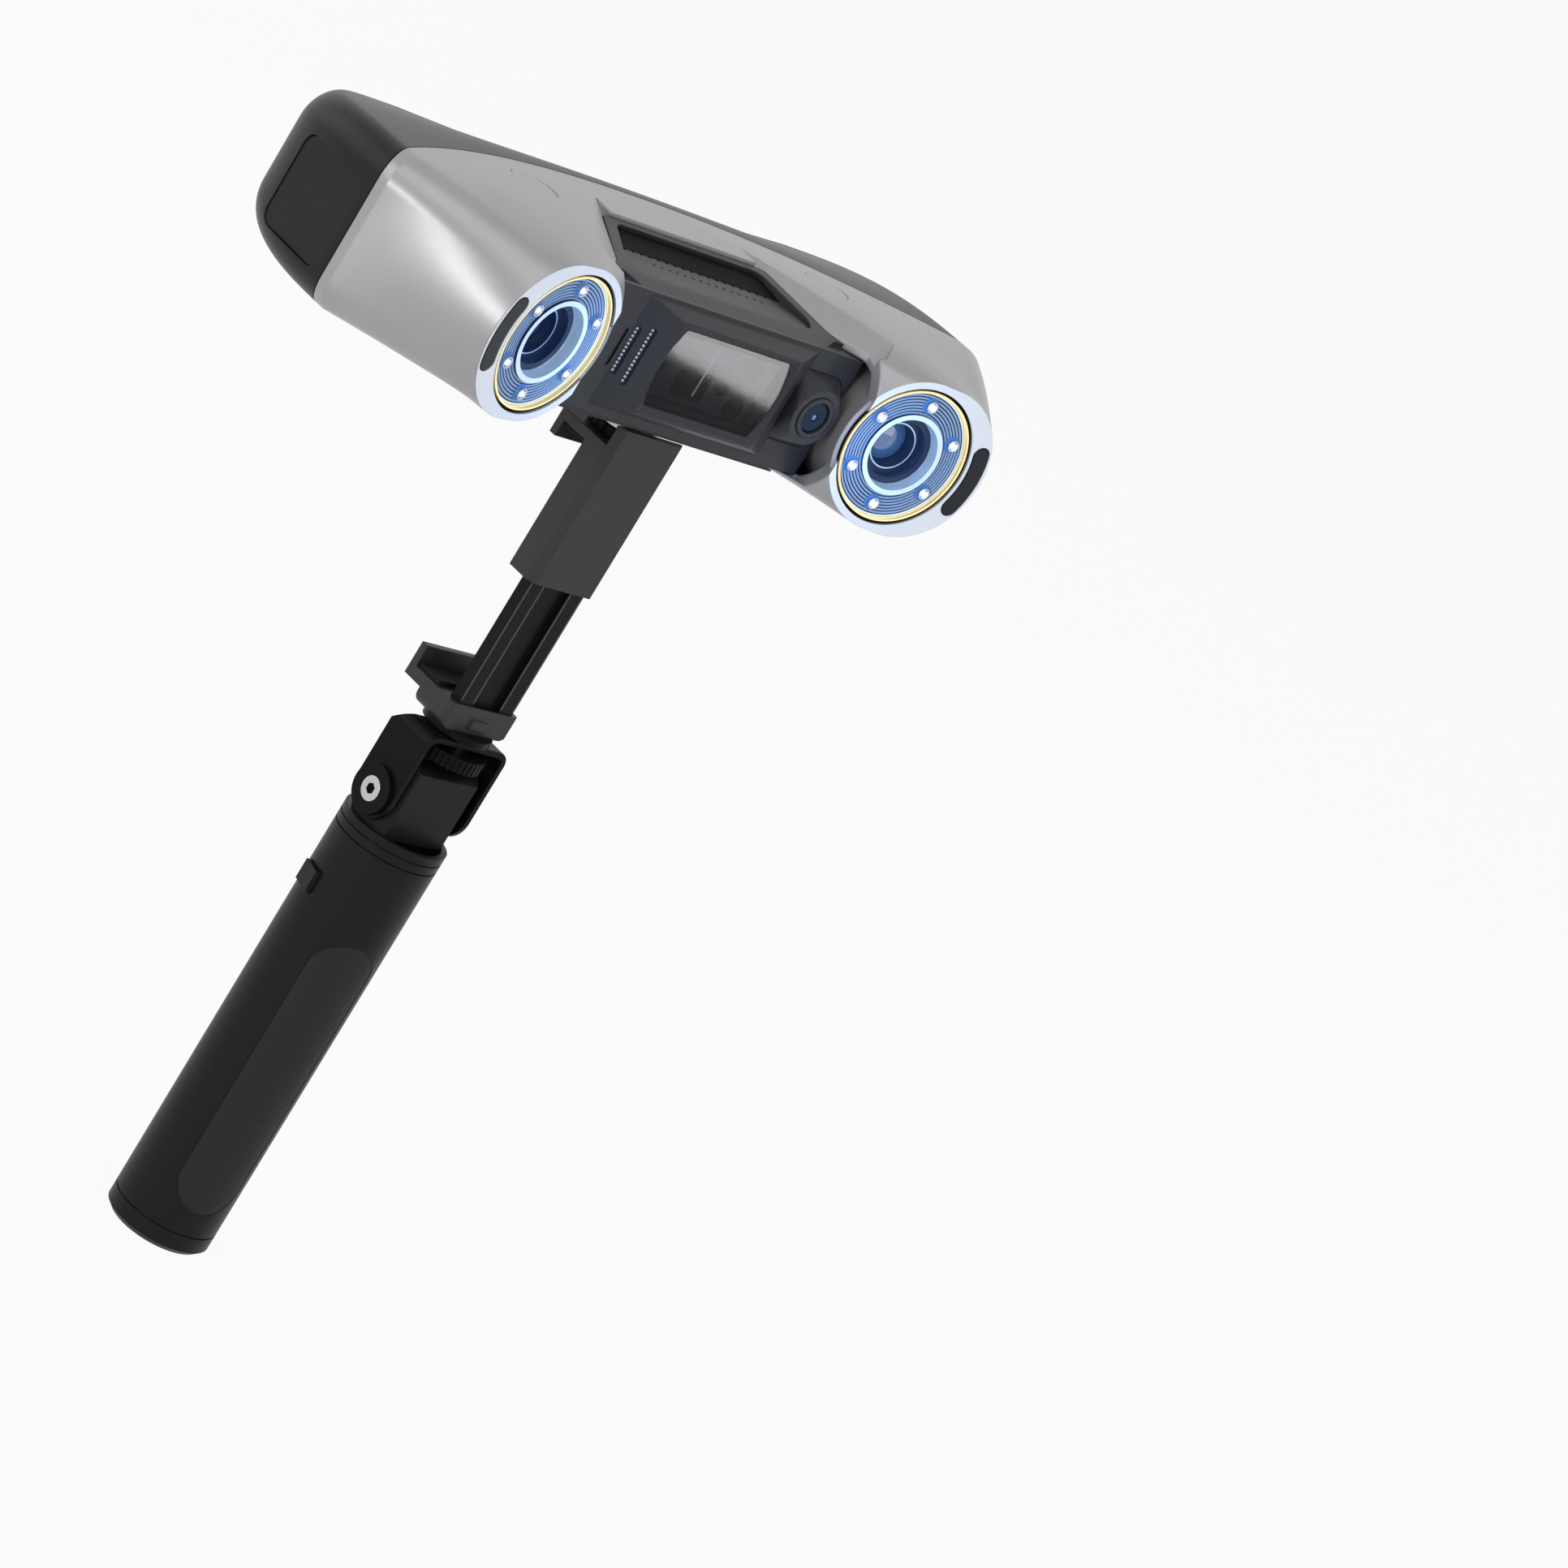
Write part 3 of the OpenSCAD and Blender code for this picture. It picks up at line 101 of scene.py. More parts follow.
# Lens pods, measured inward from the rim
POD_BORE = 21.2
TUBE_INSET = 0.6
TUBE_R = RIM_R - TUBE_INSET
TUBE_SUNK = 1
TUBE_DEPTH = 18
LEDGE_DEPTH = 10
LEDGE_R = 19.5
TRIM_IN_R = 19.7
PLATE_SUNK = 2
BARREL_R = 12.5
BARREL_SUNK = 1.2
BARREL_MOUTH_R = 11
BARREL_FLANGE_R = 13.5
BARREL_BACK_R = 9
BARREL_DEPTH = 26
CARRIER_FLOOR = 2
LENS_R = 6.2
LENS_FRONT = 9
LENS_SEAT = 13
STOP_R = 4.5
LAMP_RING_R = 15.8
LAMP_R = 1.7
LAMP_H = 0.7
LAMPS_EACH = 6
STATUS_IN_R = 22.3
STATUS_OUT_R = 27.6
STATUS_HALF_ANGLE = math.radians(26)
STATUS_DEEP = 1.4
STATUS_STEP = 0.35
PLUG_X = 60.8
PLUG_Y = 21.5
PLUG_R = 7
PLUG_FLOOR = TOP_Z - 1.2
# How nearly a face looks along the rim's axis, and how near it lies, to be painted as rim: a paler paint with
# a painted glow for the lamps' light on it
RIM_FACING = 0.98
RIM_NEAR = 0.3

# Light plates with their grooves, lamps, and the steps of the lens barrels
GROOVES = 7
GROOVE_DEEP = 0.2
GROOVE_SHARE = 0.42
PLATE_IN_R = BARREL_R + SEAT_GAP
PLATE_OUT_R = TRIM_IN_R - SEAT_GAP
PLATE_FLOOR = CARRIER_FLOOR - LEDGE_DEPTH
WHITE_RING_W = 0.5
CUP_WALL = 0.3
CUP_DEEP = 0.4
CUP_RISE = 0.5
DOME_R = 0.8
DOME_TALL = 0.9
SKIRT_R = 2.5
SKIRT_H = 0.25
# Smallest radius of a turned piece, so that no points meet on its axis
POINT = 0.01
# Ledges in the lens barrel: outer radius, inner radius, depth
BARREL_LEDGES = ((10.6, 8.8, 4.6), (8.5, 7.2, 7.0))
LENS_LIP_R = 6.8
LENS_LIP_DEPTH = 7.0
# Rows of the barrel's profile that are painted pale and glowing, painted light on its walls
PALE_ROWS = (0, 4)

# Centre fascia
FASCIA_GAP = 0.15
FASCIA_TOP_Y = 21
FASCIA_TOP_HALF = 33.5
FASCIA_NOTCH_Y = -2
FASCIA_NOTCH_HALF = 44
FASCIA_TAB_Y = -11.2
FASCIA_TAB_HALF = 53.3
FASCIA_TAB_TOP = RING_Z + 17.8
FASCIA_FRONT = -17.5
FASCIA_BACK = -5
HOOD_HALF = 25
HOOD_LOW = RING_Z - 14.5
HOOD_HIGH = RING_Z + 14.5
BODY_LOW = HEAD_Z + SHELL_WALL
SLAB_LOW = RING_Z + 12
SLAB_FRONT_Z = RING_Z + 19.3
SLAB_BACK_Z = RING_Z + 24
SLAB_T = 4
PANEL_EDGE = 3.5
PANEL_FRONT_Y = 1
WINDOW_HALF = 21.2
WINDOW_H = 23.5
WINDOW_Y = -16.2
WINDOW_T = 1.6
WINDOW_Z = RING_Z + 0.5
WINDOW_BOW = 2.4
CAVITY_HALF = 20
CAVITY_H = 20
CAVITY_BACK = -7.5
LASER_X = -5.8
LASER_W = 11.6
LASER_H = 11
LASER_D = 6.5
LASER_Z = RING_Z - 1.5
# Lenses behind the window: place across, rise above the rings' height, radius
LENS_SPOTS = ((14.1, -6, 3.4), (5.9, -1.1, 2.4), (14.1, 6, 3.4))
CAMERA_X = 41.2
CAMERA_HALF = 9.5
CAMERA_HALF_H = 13
CAMERA_FLOOR = -6
CAMERA_FRONT = -16.6
CAMERA_NOSE_R = 8.5
CAMERA_LENS_Y = -13
FASCIA_TOP_ROUND = 4
FASCIA_NOTCH_ROUND = 3
FASCIA_TAB_ROUND = 1.5
HOOD_ROUND = 1.2
BEVEL_ROOM = 1.6
PANEL_BACK_Y = 23.4
PANEL_ROUND = 5
PANEL_SUNK = 2.2
PANEL_FRONT_SUNK = 0.3
PANEL_BACK_SUNK = 0.9
CREASE_Y = 14.5
HOLE_R = 0.5
COLUMN_W = 1.9
COLUMN_DEEP = 0.5
DOT_R = 0.42
DOT_POINT = 0.05
DOT_SHOULDER = 0.7
MASK_Y = -12.6
MASK_T = 0.6
LINE_X = -4.1
LINE_W = 0.35
LINE_LOW = 286.6
LINE_HIGH = 298.6
# Rows of holes in the panel: place along the slope, first hole, last hole, how many
HOLE_ROWS = ((CREASE_Y, -31, 31, 19), (10, -22.5, 22.5, 15))
# Columns of slots: place along the hood's side, low end, high end, how many dots
LEFT_COLUMNS = ((5.8, 284.6, 300.4, 14), (9.8, 286, 299, 12), (13, 287.4, 297.4, 9))
RIGHT_COLUMNS = ((3.2, 286, 299, 12), (6.4, 287.4, 297.4, 9))
# Eye of the texture camera: radius and height of each corner, its dome first
EYE_PROFILE = ((0.05, 3.7), (0.45, 3.6), (0.75, 3.4), (0.9, 3.0), (1.2, 3.0), (1.35, 3.4), (1.7, 3.4),
               (1.9, 3.3), (4.3, 3.3), (4.65, 2.9), (4.65, 0), (0.05, 0))
EYE_DOME_ROWS = 3

# Rear shell's openings
BOSS_X = 92
BOSS_DZ = 11.5
SCREW_HEAD_R = 3.1
SCREW_HEAD_Y = 52
END_FRONT_ANGLE = math.radians(0.65)
END_REAR_ANGLE = math.radians(27.6)
END_DROP = 2
PANEL_H = 27
PANEL_CORNER = 4
PANEL_FACE = 0.3
PANEL_T = 2
SCAN_Z = MID_Z + 2
SCAN_D = 14
SOCKET_X = -32
SOCKET_W = 9.4
SOCKET_H = 3.6
SOCKET_Z = MID_Z - 2

# Clamp rail and tilt bolt
RIB_W = 0.7
RIB_H = 0.15
RIB_LOW = 3.6
GROOVE_HALF = 5.2
KEY_R = 1.65
KEY_FLOOR = 1.1
KEY_END = 2.3
KEY_DIMPLE = 0.5

# Fineness of the smooth pieces
POD_SIDES = 192
POD_STEPS = 40
REAR_SIDES = 240
REAR_STEPS = 40
SEAM_STEPS = 96
LATHE_SIDES = 128
SMALL_SIDES = 32
ROD_SIDES = 96
ARC_STEPS = 10
DOME_STEPS = 6
DOT_SIDES = 12
HOLE_SIDES = 16
HEX_SIDES = 6
SHARP_ANGLE = math.radians(28)

# Camera of the photograph, in the part's frame
VIEW_RIGHT = (0.63592, -0.57756, 0.51188)
VIEW_UP = (-0.15896, 0.55103, 0.81921)
VIEW_BACK = (-0.7552, -0.60232, 0.2586)
VIEW_PLACE = (-1189.46, -1056.65, 631.21)
VIEW_LENS = 138.3727
SENSOR_WIDTH = 36
CLIP_END = 100

# Floor, world and lamps
FLOOR_REACH = 30
FLOOR_DEPTH = 10
FLOOR_WHITE = 0.9
FLOOR_ROUGHNESS = 0.9
FLOOR_LIFT = 0.93
WORLD_LIGHT = 0.30
AIM = (0, 0, 0.28)
# Lamps: name, place in metres, width, height, roll in degrees and power in watts.
# The last one is there for the pale reflection in the window.
LAMPS = (
    ("left_lamp", (-1.5, -0.25, 0.46), 0.9, 0.3, 0, 8),
    ("front_lamp", (0.1, -1.7, 1.0), 1.8, 1.2, 0, 8),
    ("top_lamp", (-0.5, -0.5, 1.9), 1.6, 1.2, 0, 5),
    ("back_lamp", (-1.0, 1.3, 0.9), 1.4, 1.0, 0, 5),
    ("window_strip", (0.736, -0.66, 0.1005), 0.07, 0.03, 2, 0.14),
)
# Faint light that the pods throw on the fascia
GLOW_COLOUR = (0.25, 0.5, 1.0)
GLOW_POWER = 0.02
GLOW_R = 6
GLOW_X = 52
GLOW_Y = -42

# Grain and limits of the finishes
COAT_ROUGHNESS = 0.05
GRAIN_DETAIL = 3
BROAD_GRAIN = 40
SMOOTHEST = 0.02
ROUGHEST = 1.0
GRAIN_RELIEF = 0.1
LEATHER_RELIEF = 0.4
EDGE_SAMPLES = 4
HAZE_SCALE = 60
HAZE_SPREAD = 0.05

# Sockets of the mixing nodes, by number because they share names
MIX_FACTOR = 0
MIX_DARK = 6
MIX_LIGHT = 7
MIX_COLOUR = 2
SHADER_UNDER = 1
SHADER_OVER = 2

# A piece's further materials, by number
SECOND_FINISH = 1
THIRD_FINISH = 2


# Materials


def colour_of(rgb, factor=1.0):
    """A colour with its opacity, made darker or lighter by a factor."""
    return tuple(min(channel * factor, 1.0) for channel in rgb) + (1.0,)


def finish(name, rgb, roughness, metallic=0.0, specular=0.25, grain=2600, bump=0.05, spread=0.08, tint=0.05,
           edge=0.25, coat=0.0, glow=None, glow_strength=0.0, cells=0.0):
    """A moulded, painted or turned surface: fine grain in its gloss and relief, and soft edges."""
    material = bpy.data.materials.new(name)
    material.use_nodes = True
    nodes = material.node_tree.nodes
    links = material.node_tree.links
    shader = nodes["Principled BSDF"]
    shader.inputs["Metallic"].default_value = metallic
    shader.inputs["Specular IOR Level"].default_value = specular
    shader.inputs["Coat Weight"].default_value = coat
    shader.inputs["Coat Roughness"].default_value = COAT_ROUGHNESS
    if glow:
        shader.inputs["Emission Color"].default_value = colour_of(glow)
        shader.inputs["Emission Strength"].default_value = glow_strength
    place = nodes.new("ShaderNodeTexCoord")
    fine = nodes.new("ShaderNodeTexNoise")
    fine.inputs["Scale"].default_value = grain
    fine.inputs["Detail"].default_value = GRAIN_DETAIL
    links.new(place.outputs["Object"], fine.inputs["Vector"])
    broad = nodes.new("ShaderNodeTexNoise")
    broad.inputs["Scale"].default_value = grain / BROAD_GRAIN
    links.new(place.outputs["Object"], broad.inputs["Vector"])
    shade = nodes.new("ShaderNodeMix")
    shade.data_type = "RGBA"
    shade.inputs[MIX_DARK].default_value = colour_of(rgb, 1 - tint)
    shade.inputs[MIX_LIGHT].default_value = colour_of(rgb, 1 + tint)
    links.new(broad.outputs["Fac"], shade.inputs[MIX_FACTOR])
    links.new(shade.outputs[MIX_COLOUR], shader.inputs["Base Color"])
    gloss = nodes.new("ShaderNodeMapRange")
    gloss.inputs["To Min"].default_value = max(roughness - spread, SMOOTHEST)
    gloss.inputs["To Max"].default_value = min(roughness + spread, ROUGHEST)
    links.new(fine.outputs["Fac"], gloss.inputs["Value"])
    links.new(gloss.outputs["Result"], shader.inputs["Roughness"])
    relief = nodes.new("ShaderNodeBump")
    relief.inputs["Strength"].default_value = bump
    relief.inputs["Distance"].default_value = GRAIN_RELIEF * MM
    if cells:
        leather = nodes.new("ShaderNodeTexVoronoi")
        leather.feature = "SMOOTH_F1"
        leather.inputs["Scale"].default_value = cells
        links.new(place.outputs["Object"], leather.inputs["Vector"])
        links.new(leather.outputs["Distance"], relief.inputs["Height"])
        relief.inputs["Distance"].default_value = LEATHER_RELIEF * MM
    else:
        links.new(fine.outputs["Fac"], relief.inputs["Height"])
    if edge:
        soft_edge = nodes.new("ShaderNodeBevel")
        soft_edge.samples = EDGE_SAMPLES
        soft_edge.inputs["Radius"].default_value = edge * MM
        links.new(soft_edge.outputs["Normal"], relief.inputs["Normal"])
    links.new(relief.outputs["Normal"], shader.inputs["Normal"])
    return material


def clear_pane(name, tint, mirror, roughness):
    """Thin tinted pane: what lies behind it, with a share of mirror on top."""
    material = bpy.data.materials.new(name)
    material.use_nodes = True
    nodes = material.node_tree.nodes
    links = material.node_tree.links
    nodes.remove(nodes["Principled BSDF"])
    place = nodes.new("ShaderNodeTexCoord")
    haze = nodes.new("ShaderNodeTexNoise")
    haze.inputs["Scale"].default_value = HAZE_SCALE
    links.new(place.outputs["Object"], haze.inputs["Vector"])
    gloss = nodes.new("ShaderNodeMapRange")
    gloss.inputs["To Min"].default_value = roughness * (1 - HAZE_SPREAD)
    gloss.inputs["To Max"].default_value = roughness * (1 + HAZE_SPREAD)
    links.new(haze.outputs["Fac"], gloss.inputs["Value"])
    through = nodes.new("ShaderNodeBsdfTransparent")
    through.inputs["Color"].default_value = colour_of(tint)
    shine = nodes.new("ShaderNodeBsdfGlossy")
    links.new(gloss.outputs["Result"], shine.inputs["Roughness"])
    both = nodes.new("ShaderNodeMixShader")
    both.inputs[MIX_FACTOR].default_value = mirror
    links.new(through.outputs["BSDF"], both.inputs[SHADER_UNDER])
    links.new(shine.outputs["BSDF"], both.inputs[SHADER_OVER])
    links.new(both.outputs["Shader"], nodes["Material Output"].inputs["Surface"])
    return material


FINISHES = {
    "silver_shell": finish("silver_paint", (0.345, 0.339, 0.347), 0.34, metallic=0.45, specular=0.4,
                           bump=0.03, edge=0.9),
    "black_shell": finish("black_moulding", (0.009, 0.0085, 0.009), 0.36, specular=0.17, bump=0.06, edge=0.5),
    "fascia_black": finish("fascia_moulding", (0.026, 0.027, 0.031), 0.40, specular=0.25, bump=0.07,
                           edge=0.7),
    "dark_window": clear_pane("window_pane", (0.40, 0.41, 0.43), 0.018, 0.042),
    "module_black": finish("module_moulding", (0.004, 0.004, 0.005), 0.55, specular=0.04, bump=0.06),
    # Lens glass: dark blue with a coat, and a painted blue glow for the light seen in the lenses
    "lens_glass": finish("lens_coating_painted_glow", (0.04, 0.09, 0.20), 0.05, specular=1.0, grain=300, bump=0.0,
                         spread=0.02, edge=0, coat=1.0, glow=(0.10, 0.25, 0.60), glow_strength=0.18),
    # Gold trim with a painted glow, which makes it read brighter than its metal
    "gold_trim": finish("gold_trim", (0.95, 0.72, 0.34), 0.25, metallic=1.0, bump=0.02, edge=0.1,
                        glow=(1.0, 0.80, 0.42), glow_strength=0.35),
    "blue_plate": finish("blue_plate", (0.24, 0.36, 0.56), 0.32, bump=0.02, edge=0, glow=(0.25, 0.50, 1.0),
                         glow_strength=0.12),
    "white_lamp": finish("white_lamp", (0.95, 0.97, 1.0), 0.15, bump=0.0, edge=0, glow=(0.85, 0.93, 1.0),
                         glow_strength=1.2),
    "board_green": finish("solder_mask", (0.02, 0.14, 0.06), 0.45),
    "bare_aluminium": finish("milled_aluminium", (0.60, 0.60, 0.62), 0.35, metallic=1.0),
    "steel": finish("turned_steel", (0.45, 0.45, 0.47), 0.28, metallic=1.0),
    "bright_bolt": finish("bright_bolt", (0.52, 0.52, 0.53), 0.20, metallic=1.0, bump=0.03, edge=0.3),
    "brass": finish("turned_brass", (0.62, 0.45, 0.20), 0.28, metallic=1.0),
    "black_metal": finish("black_metal", (0.004, 0.004, 0.0045), 0.36, specular=0.08, bump=0.05, edge=0.45),
    "rubber": finish("soft_rubber", (0.012, 0.012, 0.012), 0.75, specular=0.12, grain=1500, bump=0.4,
                     edge=0.2),
    "grip_black": finish("grip_moulding", (0.008, 0.008, 0.008), 0.42, specular=0.13, bump=0.07, edge=0.35),
    "cell_wrap": finish("shrink_film", (0.05, 0.25, 0.30), 0.30),
}
JAW_BLACK = finish("jaw_moulding", (0.030, 0.029, 0.030), 0.45, specular=0.25, bump=0.07, edge=0.7)
RAIL_BLACK = finish("rail_coating", (0.005, 0.005, 0.005), 0.40, specular=0.10, bump=0.05, edge=0.35)
PAD_LEATHER = finish("pad_leather", (0.016, 0.016, 0.016), 0.60, specular=0.2, bump=0.5, edge=0.3, cells=900)
CAMERA_GREY = finish("camera_disc", (0.016, 0.025, 0.042), 0.50, specular=0.12, bump=0.02)
# Lighter grey of the rail's ribs: painted highlights along the rib edges
RIB_PAINTED_HIGHLIGHT = finish("rail_edge_painted_highlight", (0.050, 0.050, 0.052), 0.35, specular=0.3, bump=0.03, edge=0)
# Near black on the socket's floor: painted shade in the hex recess
SOCKET_PAINTED_SHADE = finish("socket_painted_shade", (0.004, 0.004, 0.004), 0.6, specular=0.05, bump=0.05, edge=0)
NODE_FINISHES = {"upper_jaw": JAW_BLACK, "lower_jaw": JAW_BLACK, "clamp_rail": RAIL_BLACK,
                 "grip_pad": PAD_LEATHER, "camera_lens": CAMERA_GREY, "camera_ring": FINISHES["fascia_black"]}
# The pods' flat rims: paler than the shell and glowing, painted light standing in for the lamps' light that
# falls on them
RIM_PAINTED_GLOW = finish("rim_painted_glow", (0.70, 0.73, 0.79), 0.35, metallic=0.2, bump=0.02, edge=0.3,
                   glow=(0.75, 0.86, 1.0), glow_strength=0.14)
GROOVE_BLUE = finish("groove_blue", (0.012, 0.022, 0.06), 0.40, bump=0.02, edge=0, glow=(0.05, 0.12, 0.40),
                     glow_strength=0.03)
GLOW_WHITE = finish("glow_white", (0.66, 0.78, 0.92), 0.25, bump=0.0, edge=0, glow=(0.55, 0.80, 1.0),
                    glow_strength=0.25)
# Blue ring round each lamp with a painted glow: a painted halo of the lamp's blue light
SKIRT_PAINTED_GLOW = finish("skirt_painted_glow", (0.06, 0.18, 0.45), 0.25, bump=0.02, edge=0, glow=(0.08, 0.30, 1.0),
                    glow_strength=0.12)
CUP_CHROME = finish("cup_chrome", (0.62, 0.68, 0.78), 0.12, metallic=1.0, bump=0.0, edge=0.1)
# Inside of the lens barrels: pale walls with a painted glow, and a navy coating with a faint painted glow,
# both standing in for the lamps' light in the barrel
BARREL_PAINTED_GLOW = finish("barrel_painted_glow", (0.42, 0.52, 0.68), 0.22, metallic=0.7, bump=0.03, edge=0.15,
                     glow=(0.35, 0.55, 0.85), glow_strength=0.38)
BARREL_BLUE = finish("barrel_coating_painted_glow", (0.012, 0.026, 0.065), 0.25, specular=0.3, bump=0.03, edge=0.15,
                     glow=(0.02, 0.08, 0.30), glow_strength=0.05)
LASER_WHITE = finish("laser_line", (0.55, 0.56, 0.60), 0.2, bump=0.0, edge=0, glow=(0.95, 0.96, 1.0),
                     glow_strength=0.6)
MASK_GREY = finish("mask_plate", (0.30, 0.32, 0.37), 0.6, specular=0.10, bump=0.03, edge=0.2)
# Pale dots in the slot columns, with a faint painted glow
DOT_PALE_PAINTED_GLOW = finish("dot_pale_painted_glow", (0.55, 0.60, 0.68), 0.25, bump=0.0, edge=0, glow=(0.70, 0.82, 1.0),
                  glow_strength=0.06)
STATUS_BLACK = finish("status_lens", (0.010, 0.012, 0.018), 0.22, specular=0.25, grain=300, bump=0.0,
                      edge=0.3)

for entry in frame["record"]["subparts"]:
    node = frame["nodes"][entry["node"]]
    node.data.materials.clear()
    node.data.materials.append(NODE_FINISHES.get(entry["node"], FINISHES[entry["material_slot"]]))


# Mesh helpers


def box(low, high):
    """A block between two opposite corners."""
    xs, ys, zs = zip(low, high)
    points = [Vector((x, y, z)) for x in xs for y in ys for z in zs]
    faces = [(0, 1, 3, 2), (4, 6, 7, 5), (0, 4, 5, 1), (2, 3, 7, 6), (0, 2, 6, 4), (1, 5, 7, 3)]
    return points, faces


def skin(rings):
    """A closed skin over rings of points, capped by strips from top to bottom."""
    sides = len(rings[0])
    points = [point for ring in rings for point in ring]
    last = (len(rings) - 1) * sides
    faces = []
    for k in range(len(rings) - 1):
        for i in range(sides):
            a = k * sides + i
            b = k * sides + (i + 1) % sides
            faces.append((a, b, b + sides, a + sides))
    for start in (0, last):
        for i in range(sides // 2 - 1):
            faces.append((start + i, start + i + 1, start + sides - 2 - i, start + sides - 1 - i))
    return points, faces


def slab(low_ring, high_ring):
    """A block between two flat rings with as many points."""
    sides = len(low_ring)
    faces = [(i, (i + 1) % sides, sides + (i + 1) % sides, sides + i) for i in range(sides)]
    faces.append(tuple(range(sides)))
    faces.append(tuple(range(sides, 2 * sides)))
    return [Vector(point) for point in list(low_ring) + list(high_ring)], faces


def prism(outline, low, high):
    """An upright prism over an outline in plan."""
    return slab([(x, y, low) for x, y in outline], [(x, y, high) for x, y in outline])


def lathe(profile, sides=LATHE_SIDES):
    """A closed profile of (radius, height) turned about Z."""
    turns = [2 * math.pi * i / sides for i in range(sides)]
    points = [Vector((r * math.cos(a), r * math.sin(a), z)) for r, z in profile for a in turns]
    faces = []
    for k in range(len(profile)):
        for i in range(sides):
            a = k * sides + i
            b = k * sides + (i + 1) % sides
            c = (k + 1) % len(profile) * sides
            faces.append((a, b, c + (i + 1) % sides, c + i))
    return points, faces


def rod(low, high, radius, sides=ROD_SIDES):
    """A rod along Z."""
    turns = [2 * math.pi * i / sides for i in range(sides)]
    return prism([(radius * math.cos(a), radius * math.sin(a)) for a in turns], low, high)


def hull(points):
    """The convex hull of some points."""
    maker = bmesh.new()
    for point in points:
        maker.verts.new(point)
    result = bmesh.ops.convex_hull(maker, input=maker.verts)
    left_over = result["geom_interior"] + result["geom_unused"]
    spare = {item for item in left_over if isinstance(item, bmesh.types.BMVert)}
    bmesh.ops.delete(maker, geom=list(spare), context="VERTS")
    maker.verts.index_update()
    corners = [vertex.co.copy() for vertex in maker.verts]
    faces = [tuple(vertex.index for vertex in face.verts) for face in maker.faces]
    maker.free()
    return corners, faces


def rounded(corners):
    """An outline whose corners, given as x, y and radius, are rounded off."""
    outline = []
    for k, (x, y, radius) in enumerate(corners):
        here = Vector((x, y))
        before = (Vector(corners[k - 1][:2]) - here).normalized()
        after = (Vector(corners[(k + 1) % len(corners)][:2]) - here).normalized()
        half_angle = before.angle(after) / 2
        centre = here + (before + after).normalized() * radius / math.sin(half_angle)
        reach = radius / math.tan(half_angle)
        start = here + before * reach - centre
        end = here + after * reach - centre
        for i in range(ARC_STEPS + 1):
            outline.append(tuple(centre + start.lerp(end, i / ARC_STEPS).normalized() * radius))
    return outline


def rounded_plate(left, low, right, high, radius):
    """Outline of a rectangle with rounded corners."""
    return rounded([(left, low, radius), (right, low, radius), (right, high, radius), (left, high, radius)])


def moved(shape, place):
    """The shape with each point sent through a place function."""
    return [Vector(place(*point)) for point in shape[0]], shape[1]


def joined(shapes):
    """Several shapes as one."""
    points = []
    faces = []
    for more_points, more_faces in shapes:
        start = len(points)
        points += more_points
        faces += [tuple(start + i for i in face) for face in more_faces]
    return points, faces


def mirrored(shape):
    """The shape on the other side of the middle."""
    return [Vector((-p.x, p.y, p.z)) for p in shape[0]], shape[1]


def both_sides(shape):
    """The shape and its mirror image as one."""
    return joined([shape, mirrored(shape)])


def at_pod(x, y, z):
    """Right pod's frame: X outward, Y up, Z out of the rim."""
    return (RING_SPACING / 2 + x * math.cos(TOE_IN) - z * math.sin(TOE_IN),
            -RING_FRONT - x * math.sin(TOE_IN) - z * math.cos(TOE_IN),
            RING_Z + y)


def along_y(x, z):
    """Frame of a rod that runs along Y through this x and z."""
    return lambda a, b, c: (x + a, c, z + b)


def solid(name, shape):
    """A new object with a closed mesh, its faces turned outward."""
    mesh = bpy.data.meshes.new(name)
    mesh.from_pydata([point * MM for point in shape[0]], [], shape[1])
    cleaner = bmesh.new()
    cleaner.from_mesh(mesh)
    bmesh.ops.recalc_face_normals(cleaner, faces=cleaner.faces)
    cleaner.to_mesh(mesh)
    cleaner.free()
    piece = bpy.data.objects.new(name, mesh)
    bpy.context.scene.collection.objects.link(piece)
    return piece


def combine(piece, operation, *shapes):
    """Joins shapes or pieces to a piece, or cuts them out of it, one after the other."""
    for shape in shapes:
        tool = shape if isinstance(shape, bpy.types.Object) else solid("tool", shape)
        step = piece.modifiers.new("step", "BOOLEAN")
        step.operation = operation
        step.solver = "MANIFOLD"
        step.object = tool
        graph = bpy.context.evaluated_depsgraph_get()
        made = bpy.data.meshes.new_from_object(piece.evaluated_get(graph))
        piece.modifiers.clear()
        piece.data = made
        bpy.data.objects.remove(tool)


def smooth(mesh):
    """Shades a mesh smooth between its sharp edges."""
    for face in mesh.polygons:
        face.use_smooth = True
    mesh.set_sharp_from_angle(angle=SHARP_ANGLE)


def dress(piece, body, slot, *materials, replaces=()):
    """Rounds off a piece's shading, gives it its materials and sets it on its body."""
    smooth(piece.data)
    piece.data.materials.clear()
    for material in materials:
        piece.data.materials.append(material)
    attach(piece, body)
    if replaces:
        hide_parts(*replaces)


def paint(piece, number, picks):
    """Gives one of a piece's materials to the faces that a test picks."""
    for face in piece.data.polygons:
        if picks(face):
            face.material_index = number


# Lofted shells


def side_angles(sides):
    """Evenly spread angles, in degrees, that miss the axes."""
    return [(i + 0.5) * 360 / sides for i in range(sides)]


def seam_y(x):
    """Depth of the bowed seam between the two shells."""
    return SEAM_MID_Y - (SEAM_MID_Y - SEAM_END_Y) * (abs(x) / HEAD_HALF) ** SEAM_BOW


